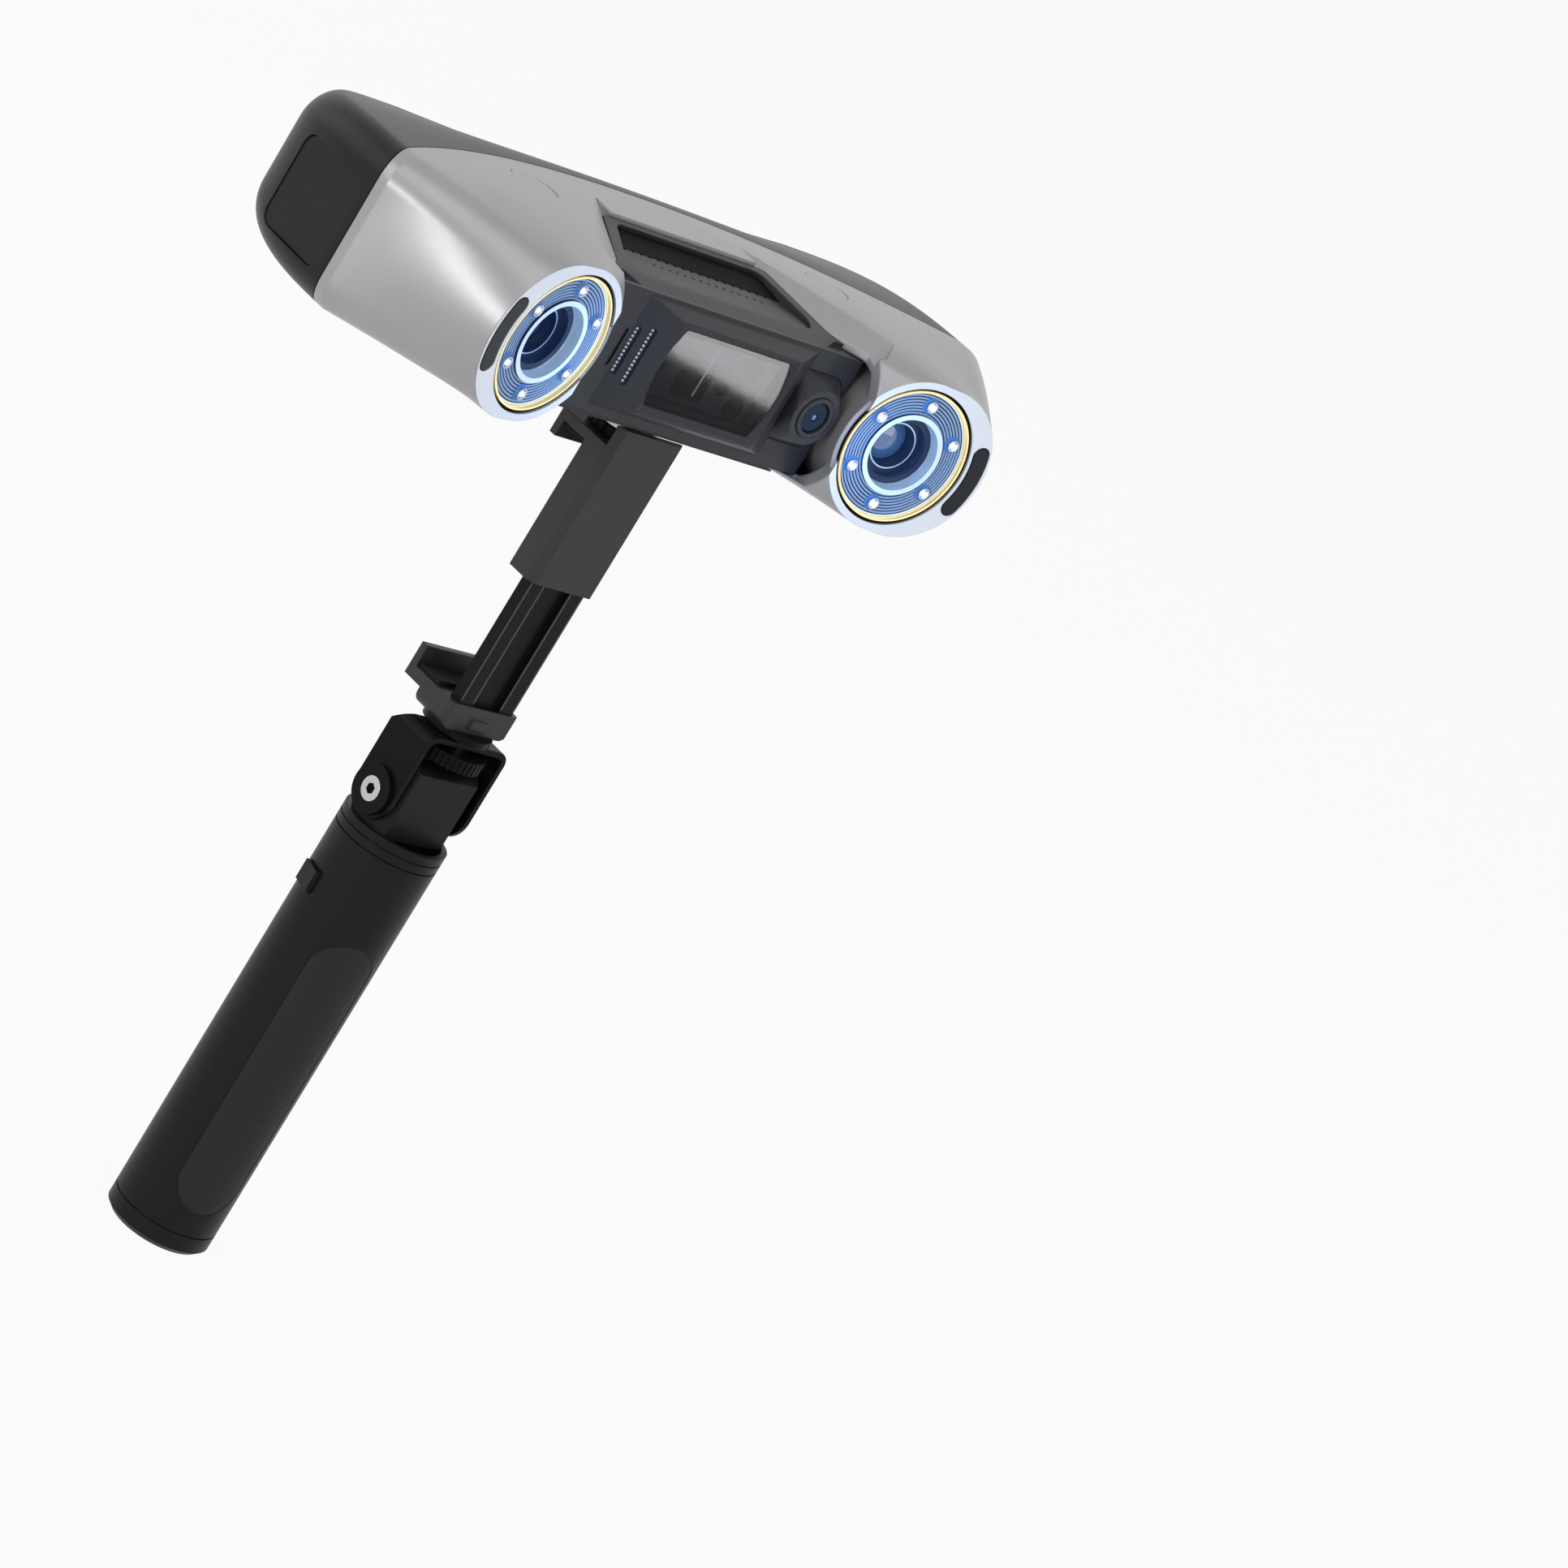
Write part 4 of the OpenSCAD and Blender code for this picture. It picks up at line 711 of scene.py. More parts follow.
def quarter(angle, length, height, corner):
    """One quarter of a rounded rectangle: up the end, round the corner, along the top."""
    if angle < CORNER_FROM:
        return length, (height - corner) * angle / CORNER_FROM
    if angle < CORNER_TO:
        turn = math.pi / 2 * (angle - CORNER_FROM) / (CORNER_TO - CORNER_FROM)
        return length - corner + corner * math.cos(turn), height - corner + corner * math.sin(turn)
    return (length - corner) * (90 - angle) / (90 - CORNER_TO), height


def rounded_box(angle, length, height, corner):
    """Point of a rounded rectangle about its middle, at an angle."""
    turn = math.radians(angle)
    x, z = quarter(math.degrees(math.asin(abs(math.sin(turn)))), length, height, corner)
    return math.copysign(x, math.cos(turn)), math.copysign(z, math.sin(turn))


def rim_point(angle, inset):
    """Egg-shaped rim of the right pod, drawn in by an inset and set back as far."""
    turn = math.radians(angle)
    stretch = RIM_STRETCH if math.cos(turn) > 0 else 0
    out = (RIM_R - inset) * math.cos(turn) + stretch
    return Vector(at_pod(out, (RIM_R - inset) * math.sin(turn), -inset))


def seam_point(angle, inset):
    """Rounded end of the front shell at the seam."""
    reach = HEAD_HALF - inset
    out, up = rounded_box(angle, (reach + PAST_MIDDLE) / 2, HEAD_H / 2 - inset, SEAM_CORNER - inset / 2)
    x = (reach - PAST_MIDDLE) / 2 + out
    return Vector((x, seam_y(x), MID_Z + up))


def pod_loft(inset, reach):
    """Right pod from its rim to the seam, drawn in by an inset, and on past the seam by a reach."""
    rings = []
    angles = side_angles(POD_SIDES)
    for k in range(POD_STEPS + 1):
        t = k / POD_STEPS
        ring = []
        for angle in angles:
            crown = 4 * TOP_CROWN * t * (1 - t) * max(math.sin(math.radians(angle)), 0)
            end = seam_point(angle, inset) - Vector((0, SEAM_BAND, 0))
            ring.append(rim_point(angle, inset).lerp(end, t) + Vector((0, 0, crown)))
        rings.append(ring)
    rings.append([seam_point(angle, inset) + Vector((0, reach, 0)) for angle in angles])
    return skin(rings)


def end_wide(turn):
    """Share of the rear corner's width that is left at a turn."""
    return max(math.cos(turn), 0) ** REAR_POWER


def end_deep(turn):
    """Share of the rear corner's depth that is reached at a turn."""
    return math.sin(turn) ** REAR_POWER


def end_wall(turn):
    """Plan of the rear shell's right end, a squared ellipse round the corner."""
    return Vector((REAR_CORNER_X + REAR_CORNER_IN * end_wide(turn),
                   SEAM_END_Y + (REAR_CORNER_Y - SEAM_END_Y) * end_deep(turn)))


def rear_point(angle, turn, inset):
    """Rear shell: the seam's outline swept round the rear corners."""
    drawn = math.sin(turn) ** REAR_TAPER
    length = REAR_CORNER_X + REAR_CORNER_IN * end_wide(turn) - inset
    height = HEAD_H / 2 - REAR_DROP * drawn - inset
    out, up = rounded_box(angle, length, height, SEAM_CORNER + REAR_ROUND * drawn - inset / 2)
    end = SEAM_END_Y + (REAR_CORNER_Y - SEAM_END_Y - inset) * end_deep(turn)
    middle = SEAM_MID_Y + (REAR_MID_Y - SEAM_MID_Y - inset) * end_deep(turn)
    y = middle + (end - middle) * (abs(out) / length) ** SEAM_BOW
    return Vector((out, y, MID_Z + REAR_LIFT * drawn + up))


def rear_loft(inset, lead):
    """Rear shell drawn in by an inset, whose front ring is moved by a lead."""
    angles = side_angles(REAR_SIDES)
    rings = [[rear_point(angle, 0, inset) + Vector((0, lead, 0)) for angle in angles]]
    for k in range(1, REAR_STEPS + 1):
        t = k / REAR_STEPS
        turn = math.pi / 2 * t * t * (3 - 2 * t)
        rings.append([rear_point(angle, turn, inset) for angle in angles])
    return skin(rings)


def before_seam():
    """Everything in front of the seam."""
    reach = HEAD_HALF + PAST
    seam = []
    for k in range(SEAM_STEPS + 1):
        x = reach - 2 * reach * k / SEAM_STEPS
        seam.append((x, seam_y(x)))
    return prism([(-reach, -2 * RING_FRONT), (reach, -2 * RING_FRONT)] + seam, 0, 2 * TOP_Z)


def above_facet(depth):
    """Everything above the sloping facet beside the fascia, with the facet lowered by a depth."""
    level = TOP_Z - depth - FACET_RISE_X * FACET_X - FACET_RISE_Y * FACET_Y
    return moved(prism(FACET_PLAN, 0, HEAD_H),
                 lambda x, y, z: (x, y, level + FACET_RISE_X * x + FACET_RISE_Y * y + z))


def fascia_plan(room):
    """Outline of the fascia's opening in plan, with room round it."""
    right = [(FASCIA_TOP_HALF + room, FASCIA_TOP_Y + room, FASCIA_TOP_ROUND),
             (FASCIA_NOTCH_HALF + room, FASCIA_NOTCH_Y, FASCIA_NOTCH_ROUND),
             (FASCIA_TAB_HALF + room, FASCIA_TAB_Y, FASCIA_TAB_ROUND),
             (FASCIA_TAB_HALF + room, -2 * RING_FRONT, FASCIA_TAB_ROUND)]
    return rounded(right + [(-x, y, radius) for x, y, radius in reversed(right)])


def status_bean(room, low, high):
    """Bean-shaped block beside the lens ring, with room round it."""
    middle = (STATUS_IN_R + STATUS_OUT_R) / 2
    half = (STATUS_OUT_R - STATUS_IN_R) / 2
    reach = STATUS_HALF_ANGLE - half / middle
    half += room
    outline = []
    for side in (1, -1):
        for k in range(2 * ARC_STEPS + 1):
            turn = reach * side * (k / ARC_STEPS - 1)
            radius = middle + side * half
            outline.append((radius * math.cos(turn), radius * math.sin(turn)))
        for k in range(1, ARC_STEPS):
            turn = math.pi * k / ARC_STEPS
            along = half * math.sin(turn)
            radius = middle + side * half * math.cos(turn)
            outline.append((radius * math.cos(reach) - along * math.sin(reach),
                            side * (radius * math.sin(reach) + along * math.cos(reach))))
    return moved(prism(outline, low, high), at_pod)


# Front shell

front = solid("front_skin", pod_loft(0, PAST_MIDDLE))
combine(front, "UNION", mirrored(pod_loft(0, PAST_MIDDLE)),
        box((-STRIP_HALF, FASCIA_TOP_Y, TOP_Z - SHELL_WALL), (STRIP_HALF, REAR_MID_Y, TOP_Z)),
        box((-FLOOR_HALF, FLOOR_FRONT, HEAD_Z), (FLOOR_HALF, REAR_MID_Y, HEAD_Z + SHELL_WALL)))
combine(front, "INTERSECT", before_seam())
inner_pod = pod_loft(SHELL_WALL, 2 * PAST_MIDDLE)
inside = solid("inside", inner_pod)
combine(inside, "UNION", mirrored(inner_pod),
        box((-MIDDLE_HALF, -2 * RING_FRONT, HEAD_Z + SHELL_WALL),
            (MIDDLE_HALF, REAR_CORNER_Y, TOP_Z - SHELL_WALL)))
combine(inside, "DIFFERENCE", above_facet(SHELL_WALL), mirrored(above_facet(SHELL_WALL)))
combine(front, "DIFFERENCE", inside, above_facet(0), mirrored(above_facet(0)),
        prism(fascia_plan(0), HEAD_Z + SHELL_WALL, HEAD_Z + SHELL_WALL + HEAD_H))
pod_tube = moved(rod(-TUBE_DEPTH, -TUBE_SUNK, TUBE_R), at_pod)
combine(front, "UNION", pod_tube, mirrored(pod_tube))
plug_hole = moved(rod(PLUG_FLOOR, TOP_Z + PAST, PLUG_R + SEAT_GAP),
                  lambda x, y, z: (PLUG_X + x, PLUG_Y + y, z))
for cutter in (moved(rod(-LEDGE_DEPTH, PAST, POD_BORE), at_pod),
               moved(rod(-TUBE_DEPTH - PAST, PAST, LEDGE_R), at_pod),
               status_bean(SEAT_GAP, -STATUS_DEEP, PAST), plug_hole):
    combine(front, "DIFFERENCE", cutter, mirrored(cutter))
dress(front, "head", "silver_shell", FINISHES["silver_shell"], RIM_PAINTED_GLOW, FINISHES["fascia_black"],
      replaces=("front_shell",))
rim_place = Vector(at_pod(0, 0, 0))
rim_way = (Vector(at_pod(0, 0, 1)) - rim_place).normalized()


def on_rim(face):
    """True on the flat rims of both pods."""
    facing = Vector((face.normal.x * math.copysign(1, face.center.x), face.normal.y, face.normal.z))
    spot = Vector((abs(face.center.x), face.center.y, face.center.z)) / MM - rim_place
    return facing.dot(rim_way) > RIM_FACING and abs(spot.dot(rim_way)) < RIM_NEAR


def on_floor_edge(face):
    """True on the front edge of the floor below the fascia."""
    return face.normal.y < -RIM_FACING and abs(face.center.y / MM - FLOOR_FRONT) < RIM_NEAR


# The rims take the pale, glowing paint: painted light from the lamps
paint(front, SECOND_FINISH, on_rim)
paint(front, THIRD_FINISH, on_floor_edge)

# Rear shell

end_front = end_wall(END_FRONT_ANGLE)
end_rear = end_wall(END_REAR_ANGLE)
end_middle = (end_front + end_rear) / 2
end_turn = math.atan2(end_front.x - end_rear.x, end_rear.y - end_front.y)
panel_w = (end_rear - end_front).length


def at_end(x, y, z):
    """Right end wall's frame: X outward, Z up."""
    return (end_middle.x + x * math.cos(end_turn) - y * math.sin(end_turn),
            end_middle.y + x * math.sin(end_turn) + y * math.cos(end_turn),
            MID_Z - END_DROP + z)


rear = solid("rear_skin", rear_loft(0, SEAM_GAP))
combine(rear, "DIFFERENCE", rear_loft(SHELL_WALL, -REAR_CORNER_Y))
half_w = panel_w / 2 + SEAT_GAP
half_h = PANEL_H / 2 + SEAT_GAP
end_outline = rounded_plate(-half_w, -half_h, half_w, half_h, PANEL_CORNER + SEAT_GAP)
end_pocket = moved(prism(end_outline, -PANEL_FACE - PANEL_T - 2 * PAST, 2 * PANEL_T),
                   lambda y, z, x: at_end(x, y, z))
combine(rear, "DIFFERENCE", end_pocket, mirrored(end_pocket),
        moved(rod(REAR_MID_Y - 2 * SHELL_WALL, REAR_CORNER_Y, SCAN_D / 2 + SLIDE_GAP), along_y(0, SCAN_Z)),
        box((SOCKET_X - SOCKET_W / 2, REAR_MID_Y - 2 * SHELL_WALL, SOCKET_Z - SOCKET_H / 2),
            (SOCKET_X + SOCKET_W / 2, REAR_CORNER_Y, SOCKET_Z + SOCKET_H / 2)))
for rise in (-BOSS_DZ, BOSS_DZ):
    hole = moved(rod(SCREW_HEAD_Y, REAR_CORNER_Y + PAST, SCREW_HEAD_R), along_y(BOSS_X, RING_Z + rise))
    combine(rear, "DIFFERENCE", hole, mirrored(hole))
dress(rear, "head", "black_shell", FINISHES["black_shell"], replaces=("rear_shell",))

# Fascia: rounded hood, bevelled window, sunk panel and columns of slots

slope_turn = math.atan2(SLAB_BACK_Z - SLAB_FRONT_Z, FASCIA_TOP_Y - FASCIA_BACK)
side_start = Vector((HOOD_HALF, FASCIA_FRONT + HOOD_ROUND))
side_way = (Vector((FASCIA_NOTCH_HALF, FASCIA_BACK - PAST)) - side_start).normalized()


def at_slope(x, y, z):
    """Frame on the fascia's sloping top: Y along the slope, Z out of it."""
    return (x, FASCIA_BACK + y * math.cos(slope_turn) - z * math.sin(slope_turn),
            SLAB_FRONT_Z + y * math.sin(slope_turn) + z * math.cos(slope_turn))


def at_side(x, y, z):
    """Frame on the hood's right side: X back along it, Y up, Z out of it."""
    return (side_start.x + x * side_way.x + z * side_way.y,
            side_start.y + x * side_way.y - z * side_way.x,
            y)


def hood_front():
    """Corners of the hood's front face, whose edges are rounded off."""
    points = []
    for k in range(ARC_STEPS // 2 + 1):
        turn = math.pi * k / ARC_STEPS
        inset = HOOD_ROUND * (1 - math.sin(turn))
        y = FASCIA_FRONT + HOOD_ROUND * (1 - math.cos(turn))
        for x in (inset - HOOD_HALF, HOOD_HALF - inset):
            points += [Vector((x, y, HOOD_LOW + inset)), Vector((x, y, HOOD_HIGH - inset))]
    return points


def window_ring(y, room):
    """Outline of the window at a depth, with room round it."""
    bow_r = (WINDOW_H * WINDOW_H / 4 + WINDOW_BOW * WINDOW_BOW) / (2 * WINDOW_BOW)
    ring = []
    for side in (1, -1):
        for k in range(2 * ARC_STEPS + 1):
            z = side * WINDOW_H / 2 * (k / ARC_STEPS - 1)
            x = WINDOW_HALF + WINDOW_BOW - bow_r + math.sqrt(bow_r * bow_r - z * z)
            ring.append((side * (x + room), y, WINDOW_Z + z * (1 + 2 * room / WINDOW_H)))
    return ring


def panel_outline_in(room):
    """Outline of the sunk panel on the slope, drawn in by some room."""
    front_half = FASCIA_NOTCH_HALF - PANEL_EDGE - room
    back_half = FASCIA_TOP_HALF - PANEL_EDGE - room
    right = [(front_half, PANEL_FRONT_Y + room, PANEL_ROUND), (back_half, PANEL_BACK_Y - room, PANEL_ROUND)]
    return rounded(right + [(-x, y, radius) for x, y, radius in reversed(right)])


def column_slot(u, low, high, dots):
    """Groove of one column, with rounded ends; its dots are a piece of their own."""
    half = COLUMN_W / 2
    outline = rounded_plate(u - half, low - half, u + half, high + half, half - SEAT_GAP)
    return prism(outline, -COLUMN_DEEP, PAST)


def column_dots(u, low, high, dots):
    """Small domes along the floor of one column."""
    dome = [(DOT_POINT, 0), (DOT_R, 0), (DOT_R * DOT_SHOULDER, DOT_R * DOT_SHOULDER), (DOT_POINT, DOT_R)]
    pitch = (high - low) / (dots - 1)
    row = []
    for k in range(dots):
        row.append(moved(lathe(dome, DOT_SIDES),
                         lambda a, b, c: (u + a, low + k * pitch + b, c - COLUMN_DEEP)))
    return joined(row)


def columns(maker):
    """What a maker gives for each column of slots, on its own side."""
    shapes = [mirrored(moved(maker(*column), at_side)) for column in LEFT_COLUMNS]
    return shapes + [moved(maker(*column), at_side) for column in RIGHT_COLUMNS]


hood_back = box((-FASCIA_NOTCH_HALF, FASCIA_BACK - PAST, BODY_LOW),
                (FASCIA_NOTCH_HALF, FASCIA_BACK, SLAB_FRONT_Z))
slope_front = box((-FASCIA_TAB_HALF, FASCIA_BACK - PAST, SLAB_LOW),
                  (FASCIA_TAB_HALF, FASCIA_BACK, SLAB_FRONT_Z))
slope_back = box((-FASCIA_TOP_HALF, FASCIA_TOP_Y - PAST, SLAB_BACK_Z - SLAB_T),
                 (FASCIA_TOP_HALF, FASCIA_TOP_Y, SLAB_BACK_Z))
fascia = solid("fascia_skin", hull(hood_front() + hood_back[0]))
combine(fascia, "UNION", hull(slope_front[0] + slope_back[0]),
        box((-FASCIA_TAB_HALF, FASCIA_TAB_Y, BODY_LOW + SLIDE_GAP),
            (FASCIA_TAB_HALF, FASCIA_BACK, FASCIA_TAB_TOP)))
combine(fascia, "INTERSECT", prism(fascia_plan(-FASCIA_GAP), HEAD_Z, HEAD_Z + 2 * HEAD_H))
pod_room = moved(rod(-2 * TUBE_DEPTH, TUBE_DEPTH, RIM_R + FASCIA_GAP), at_pod)
camera_back = box((CAMERA_X - CAMERA_HALF - SEAT_GAP, CAMERA_FLOOR - PAST,
                   RING_Z - CAMERA_HALF_H - SEAT_GAP),
                  (CAMERA_X + CAMERA_HALF + SEAT_GAP, CAMERA_FLOOR,
                   RING_Z + CAMERA_HALF_H + SEAT_GAP))
camera_nose = moved(rod(CAMERA_FRONT, CAMERA_FRONT + PAST, CAMERA_NOSE_R + SEAT_GAP),
                    along_y(CAMERA_X, RING_Z))
combine(fascia, "DIFFERENCE", pod_room, mirrored(pod_room),
        slab(window_ring(FASCIA_FRONT - PAST, 0), window_ring(WINDOW_Y + WINDOW_T, 0)),
        slab(window_ring(FASCIA_FRONT - PAST, 2 * BEVEL_ROOM), window_ring(WINDOW_Y, -SEAT_GAP)),
        box((-CAVITY_HALF, WINDOW_Y, WINDOW_Z - CAVITY_H / 2),
            (CAVITY_HALF, CAVITY_BACK, WINDOW_Z + CAVITY_H / 2)),
        hull(camera_back[0] + camera_nose[0]),
        moved(prism(panel_outline_in(0), -PANEL_SUNK, PANEL_SUNK), at_slope),
        *columns(column_slot))
dress(fascia, "head", "fascia_black", FINISHES["fascia_black"], replaces=("center_fascia",))
# The dots take a pale finish with a faint painted glow
dots = solid("column_dots", joined(columns(column_dots)))
dress(dots, "head", "fascia_black", DOT_PALE_PAINTED_GLOW)

# Sunk panel with two rows of holes along its crease

panel = solid("holed_panel", moved(prism(panel_outline_in(SEAT_GAP), -PANEL_SUNK, 0), at_slope))
panel_cut = [(PANEL_FRONT_Y - PAST, -PANEL_FRONT_SUNK), (CREASE_Y, SLIDE_GAP - PANEL_SUNK),
             (PANEL_BACK_Y + PAST, -PANEL_BACK_SUNK), (PANEL_BACK_Y + PAST, PAST),
             (PANEL_FRONT_Y - PAST, PAST)]
panel_room = slab([(-HEAD_H, y, z) for y, z in panel_cut], [(HEAD_H, y, z) for y, z in panel_cut])
combine(panel, "DIFFERENCE", moved(panel_room, at_slope))
panel_hole = rod(-PANEL_SUNK - PAST, PAST, HOLE_R, HOLE_SIDES)
holes = []
for y, first, last, count in HOLE_ROWS:
    for k in range(count):
        x = first + (last - first) * k / (count - 1)
        holes.append(moved(panel_hole, lambda a, b, c: at_slope(x + a, y + b, c)))
combine(panel, "DIFFERENCE", joined(holes))
dress(panel, "head", "module_black", FINISHES["fascia_black"], FINISHES["module_black"],
      replaces=("perforated_panel",))
crease = Vector(at_slope(0, CREASE_Y, 0))
# Behind the crease the panel is painted darker, a painted shade on the ramp that faces away from the light
paint(panel, SECOND_FINISH, lambda face: face.center.y / MM > crease.y)

# Behind the window: a grey mask round the modules, and the laser's bright line

mask = solid("module_mask", box((-CAVITY_HALF + SEAT_GAP, MASK_Y, WINDOW_Z - CAVITY_H / 2 + SEAT_GAP),
                                (CAVITY_HALF - SEAT_GAP, MASK_Y + MASK_T,
                                 WINDOW_Z + CAVITY_H / 2 - SEAT_GAP)))
combine(mask, "DIFFERENCE",
        box((LASER_X - LASER_W / 2 - SEAT_GAP, MASK_Y - PAST, LASER_Z - LASER_H / 2 - SEAT_GAP),
            (LASER_X + LASER_W / 2 + SEAT_GAP, MASK_Y + PAST, LASER_Z + LASER_H / 2 + SEAT_GAP)))
for x, rise, radius in LENS_SPOTS:
    combine(mask, "DIFFERENCE",
            moved(rod(MASK_Y - PAST, MASK_Y + PAST, radius + SEAT_GAP), along_y(x, RING_Z + rise)))
dress(mask, "head", "module_black", MASK_GREY)
line_front = CAVITY_BACK - LASER_D
line_outline = rounded_plate(LINE_X - LINE_W / 2, LINE_LOW, LINE_X + LINE_W / 2, LINE_HIGH, SEAT_GAP)
line = solid("laser_line", moved(prism(line_outline, line_front - LINE_W, line_front),
                                 lambda a, b, c: (a, c, b)))
dress(line, "head", "module_black", LASER_WHITE)

# Eye of the texture camera

eye = solid("camera_eye", moved(lathe(EYE_PROFILE, ROD_SIDES),
                                lambda a, b, c: (CAMERA_X + a, CAMERA_LENS_Y - c, RING_Z + b)))
dress(eye, "head", "lens_glass", CAMERA_GREY, FINISHES["lens_glass"])
# The eye's dome takes the lens finish and its painted glow
paint(eye, SECOND_FINISH, lambda face: face.index // ROD_SIDES < EYE_DOME_ROWS)

# Status windows

beans = solid("status_beans", both_sides(status_bean(0, -STATUS_DEEP, -STATUS_STEP)))
combine(beans, "UNION", both_sides(status_bean(-STATUS_STEP, -STATUS_DEEP, 0)))
dress(beans, "head", "module_black", STATUS_BLACK, replaces=("status_windows",))

# Lens pods


def pod_pair(profile):
    """A profile turned about each pod's axis, with the name of its side."""
    shape = moved(lathe(profile), at_pod)
    return (("left", mirrored(shape)), ("right", shape))


def row_of(face):
    """Row of a turned piece that a face lies in, counted along its profile."""
    return face.index // LATHE_SIDES


plate_profile = [(PLATE_IN_R, PLATE_FLOOR), (PLATE_IN_R, -PLATE_SUNK)]
groove_pitch = (PLATE_OUT_R - WHITE_RING_W - PLATE_IN_R) / GROOVES
groove_rows = []
for k in range(GROOVES):
    start = PLATE_IN_R + (k + 1 - GROOVE_SHARE) * groove_pitch
    end = PLATE_IN_R + (k + 1) * groove_pitch
    groove_rows.append(len(plate_profile) + 1)
    plate_profile += [(start, -PLATE_SUNK), (start, -PLATE_SUNK - GROOVE_DEEP),
                      (end, -PLATE_SUNK - GROOVE_DEEP), (end, -PLATE_SUNK)]
rim_row = len(plate_profile) - 1
plate_profile += [(PLATE_OUT_R, -PLATE_SUNK), (PLATE_OUT_R, PLATE_FLOOR)]
for side, shape in pod_pair(plate_profile):
    plate = solid(side + "_lit_plate", shape)
    dress(plate, "head", "blue_plate", FINISHES["blue_plate"], GROOVE_BLUE, GLOW_WHITE,
          replaces=(side + "_light_plate",))
    paint(plate, SECOND_FINISH, lambda face: row_of(face) in groove_rows)
    paint(plate, THIRD_FINISH, lambda face: row_of(face) == rim_row)

cup_profile = [(LAMP_R, 0), (LAMP_R, LAMP_H + CUP_RISE), (LAMP_R - CUP_WALL, LAMP_H + CUP_RISE),
               (LAMP_R - 2 * CUP_WALL, CUP_DEEP / 2), (CUP_WALL, CUP_DEEP / 2), (CUP_WALL, 0)]
dome_profile = []
for k in range(DOME_STEPS + 1):
    turn = math.pi / 2 * k / DOME_STEPS
    dome_profile.append((DOME_R * math.cos(turn) + POINT, CUP_DEEP / 2 + DOME_TALL * DOME_R * math.sin(turn)))
dome_profile.append((POINT, CUP_DEEP / 2))
skirt_profile = [(LAMP_R, 0), (SKIRT_R, 0), (SKIRT_R, SKIRT_H / 2), (LAMP_R, SKIRT_H)]


def lamp_places(shape):
    """A copy of the shape at each lamp of both pods."""
    copies = []
    for k in range(LAMPS_EACH):
        turn = 2 * math.pi * (k + 0.5) / LAMPS_EACH
        x = LAMP_RING_R * math.cos(turn)
        y = LAMP_RING_R * math.sin(turn)
        copies.append(moved(shape, lambda a, b, c: at_pod(x + a, y + b, c - PLATE_SUNK)))
    return both_sides(joined(copies))


cups = solid("lamp_cups", lamp_places(lathe(cup_profile, SMALL_SIDES)))
dress(cups, "head", "white_lamp", CUP_CHROME, replaces=("lamps",))
domes = solid("lamp_domes", lamp_places(lathe(dome_profile, SMALL_SIDES)))
dress(domes, "head", "white_lamp", FINISHES["white_lamp"])
# Skirts: thin blue rings that carry a painted halo round each lamp
skirts = solid("lamp_skirts", lamp_places(lathe(skirt_profile, SMALL_SIDES)))
dress(skirts, "head", "white_lamp", SKIRT_PAINTED_GLOW)

flange_back = -LEDGE_DEPTH - CARRIER_FLOOR
barrel_profile = [(BARREL_MOUTH_R, -BARREL_SUNK)]
for outer, inner, depth in BARREL_LEDGES:
    barrel_profile += [(outer, -depth), (inner, -depth)]
barrel_profile += [(LENS_LIP_R, -LENS_LIP_DEPTH), (LENS_R, -LENS_FRONT), (LENS_R, -LENS_SEAT),
                   (STOP_R, -LENS_SEAT), (STOP_R, -BARREL_DEPTH), (BARREL_BACK_R, -BARREL_DEPTH),
                   (BARREL_BACK_R, flange_back), (BARREL_FLANGE_R, flange_back),
                   (BARREL_FLANGE_R, -LEDGE_DEPTH), (BARREL_R, -LEDGE_DEPTH), (BARREL_R, -BARREL_SUNK)]
mouth_row = len(barrel_profile) - 1
for side, shape in pod_pair(barrel_profile):
    barrel = solid(side + "_stepped_barrel", shape)
    dress(barrel, "head", "black_metal", BARREL_BLUE, GLOW_WHITE, BARREL_PAINTED_GLOW,
          replaces=(side + "_lens_barrel",))
    # The barrel's mouth is painted glowing white and two of its walls pale and glowing: painted light from
    # the lamps
    paint(barrel, SECOND_FINISH, lambda face: row_of(face) == mouth_row)
    paint(barrel, THIRD_FINISH, lambda face: row_of(face) in PALE_ROWS)

# Ribs along the clamp rail, painted lighter as painted highlights on their edges, and a dark painted shade on
# the floor of the tilt bolt's socket

rail_min, rail_max = (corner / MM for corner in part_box("clamp_rail"))
bolt_min, bolt_max = (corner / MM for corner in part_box("tilt_bolt"))
bolt_z = (bolt_min.z + bolt_max.z) / 2


def rail_rib(x):
    """Low rib with sloping sides, up the front of the rail."""
    outline = [(x - RIB_W / 2, rail_min.y), (x + RIB_W / 2, rail_min.y),
               (x + RIB_W / 4, rail_min.y - RIB_H), (x - RIB_W / 4, rail_min.y - RIB_H)]
    return prism(outline, rail_min.z + RIB_LOW, rail_max.z)


ribs = solid("rail_ribs", joined([both_sides(rail_rib(GROOVE_HALF + RIB_W / 2)),
                                  both_sides(rail_rib(rail_max.x - RIB_W / 2))]))
dress(ribs, "holder", "fascia_black", RIB_PAINTED_HIGHLIGHT)
# A dark hex floor in the bolt's recess, a painted shade
socket_profile = [(POINT, -KEY_FLOOR - KEY_DIMPLE), (KEY_R, -KEY_FLOOR), (KEY_R, -KEY_END), (POINT, -KEY_END)]
socket = solid("bolt_socket", moved(lathe(socket_profile, HEX_SIDES),
                                    lambda a, b, c: (bolt_min.x - c, b, bolt_z + a)))
dress(socket, "yoke", "bright_bolt", SOCKET_PAINTED_SHADE)

# Soft shading of the solids that stay

for node in frame["nodes"].values():
    smooth(node.data)

# Camera

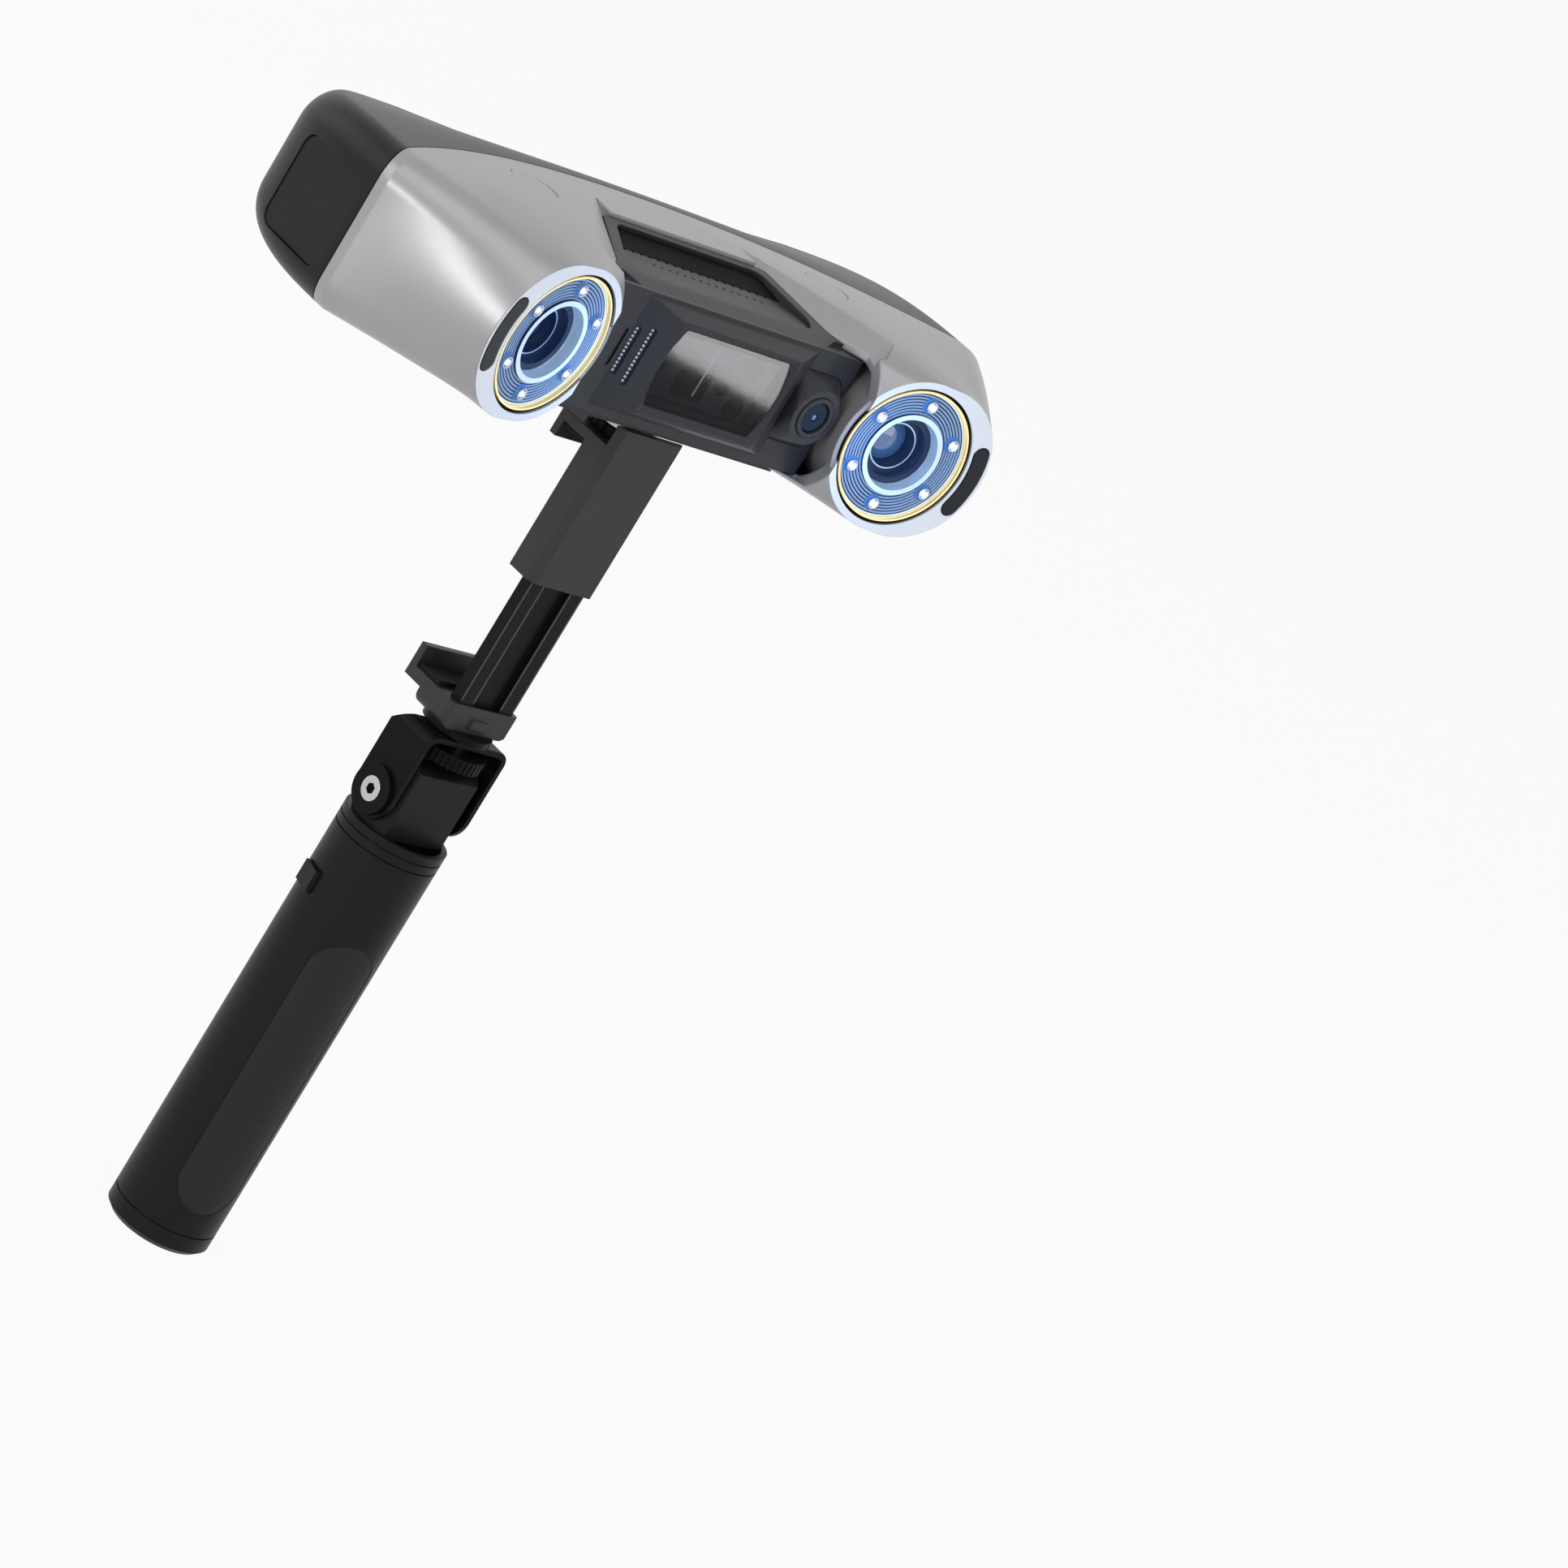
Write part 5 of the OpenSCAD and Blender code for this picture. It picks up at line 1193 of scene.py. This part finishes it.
camera_data = bpy.data.cameras.new("camera")
camera_data.lens = VIEW_LENS
camera_data.sensor_width = SENSOR_WIDTH
camera_data.clip_end = CLIP_END
camera = bpy.data.objects.new("camera", camera_data)
turned = Matrix((VIEW_RIGHT, VIEW_UP, VIEW_BACK)).transposed().to_4x4()
camera.matrix_world = Matrix.Translation(Vector(VIEW_PLACE) * MM) @ turned
bpy.context.scene.collection.objects.link(camera)
bpy.context.scene.camera = camera

# Floor, world and lamps


def seen_rays(nodes, links):
    """A factor that is 1 for what the camera, a reflection or a glass sees."""
    path = nodes.new("ShaderNodeLightPath")
    seen = path.outputs["Is Camera Ray"]
    for name in ("Is Glossy Ray", "Is Transmission Ray"):
        either = nodes.new("ShaderNodeMath")
        either.operation = "MAXIMUM"
        links.new(seen, either.inputs[0])
        links.new(path.outputs[name], either.inputs[1])
        seen = either.outputs["Value"]
    return seen


floor_edge = FLOOR_REACH / MM
floor = solid("floor", box((-floor_edge, -floor_edge, -FLOOR_DEPTH), (floor_edge, floor_edge, 0)))
floor_paint = bpy.data.materials.new("floor_paint")
floor_paint.use_nodes = True
floor_nodes = floor_paint.node_tree.nodes
floor_links = floor_paint.node_tree.links
floor_shader = floor_nodes["Principled BSDF"]
floor_shader.inputs["Base Color"].default_value = (FLOOR_WHITE, FLOOR_WHITE, FLOOR_WHITE, 1)
floor_shader.inputs["Roughness"].default_value = FLOOR_ROUGHNESS
floor_light = floor_nodes.new("ShaderNodeEmission")
floor_share = floor_nodes.new("ShaderNodeMath")
floor_share.operation = "MULTIPLY"
floor_share.inputs[1].default_value = FLOOR_LIFT
floor_links.new(seen_rays(floor_nodes, floor_links), floor_share.inputs[0])
floor_mix = floor_nodes.new("ShaderNodeMixShader")
floor_links.new(floor_share.outputs["Value"], floor_mix.inputs[MIX_FACTOR])
floor_links.new(floor_shader.outputs["BSDF"], floor_mix.inputs[SHADER_UNDER])
floor_links.new(floor_light.outputs["Emission"], floor_mix.inputs[SHADER_OVER])
floor_links.new(floor_mix.outputs["Shader"], floor_nodes["Material Output"].inputs["Surface"])
floor.data.materials.append(floor_paint)

world = bpy.data.worlds.new("studio")
bpy.context.scene.world = world
world.use_nodes = True
world_nodes = world.node_tree.nodes
world_links = world.node_tree.links
world_shader = world_nodes["Background"]
world_shader.inputs["Color"].default_value = (1, 1, 1, 1)
world_level = world_nodes.new("ShaderNodeMapRange")
world_level.inputs["To Min"].default_value = WORLD_LIGHT
world_level.inputs["To Max"].default_value = 1.0
world_links.new(seen_rays(world_nodes, world_links), world_level.inputs["Value"])
world_links.new(world_level.outputs["Result"], world_shader.inputs["Strength"])

for name, place, width, height, roll, power in LAMPS:
    lamp_data = bpy.data.lights.new(name, "AREA")
    lamp_data.shape = "RECTANGLE"
    lamp_data.energy = power
    lamp_data.size = width
    lamp_data.size_y = height
    lamp = bpy.data.objects.new(name, lamp_data)
    lamp.location = place
    lamp.rotation_euler = (Vector(AIM) - Vector(place)).to_track_quat("-Z", "Y").to_euler()
    lamp.rotation_euler.rotate_axis("Z", math.radians(roll))
    bpy.context.scene.collection.objects.link(lamp)

for side in (-1, 1):
    glow_data = bpy.data.lights.new("pod_glow", "POINT")
    glow_data.energy = GLOW_POWER
    glow_data.color = GLOW_COLOUR
    glow_data.shadow_soft_size = GLOW_R * MM
    glow = bpy.data.objects.new("pod_glow", glow_data)
    glow.location = Vector((side * GLOW_X, GLOW_Y, RING_Z)) * MM
    glow.parent = fascia
    glow.visible_glossy = False
    bpy.context.scene.collection.objects.link(glow)

bpy.context.scene.view_settings.view_transform = "Standard"
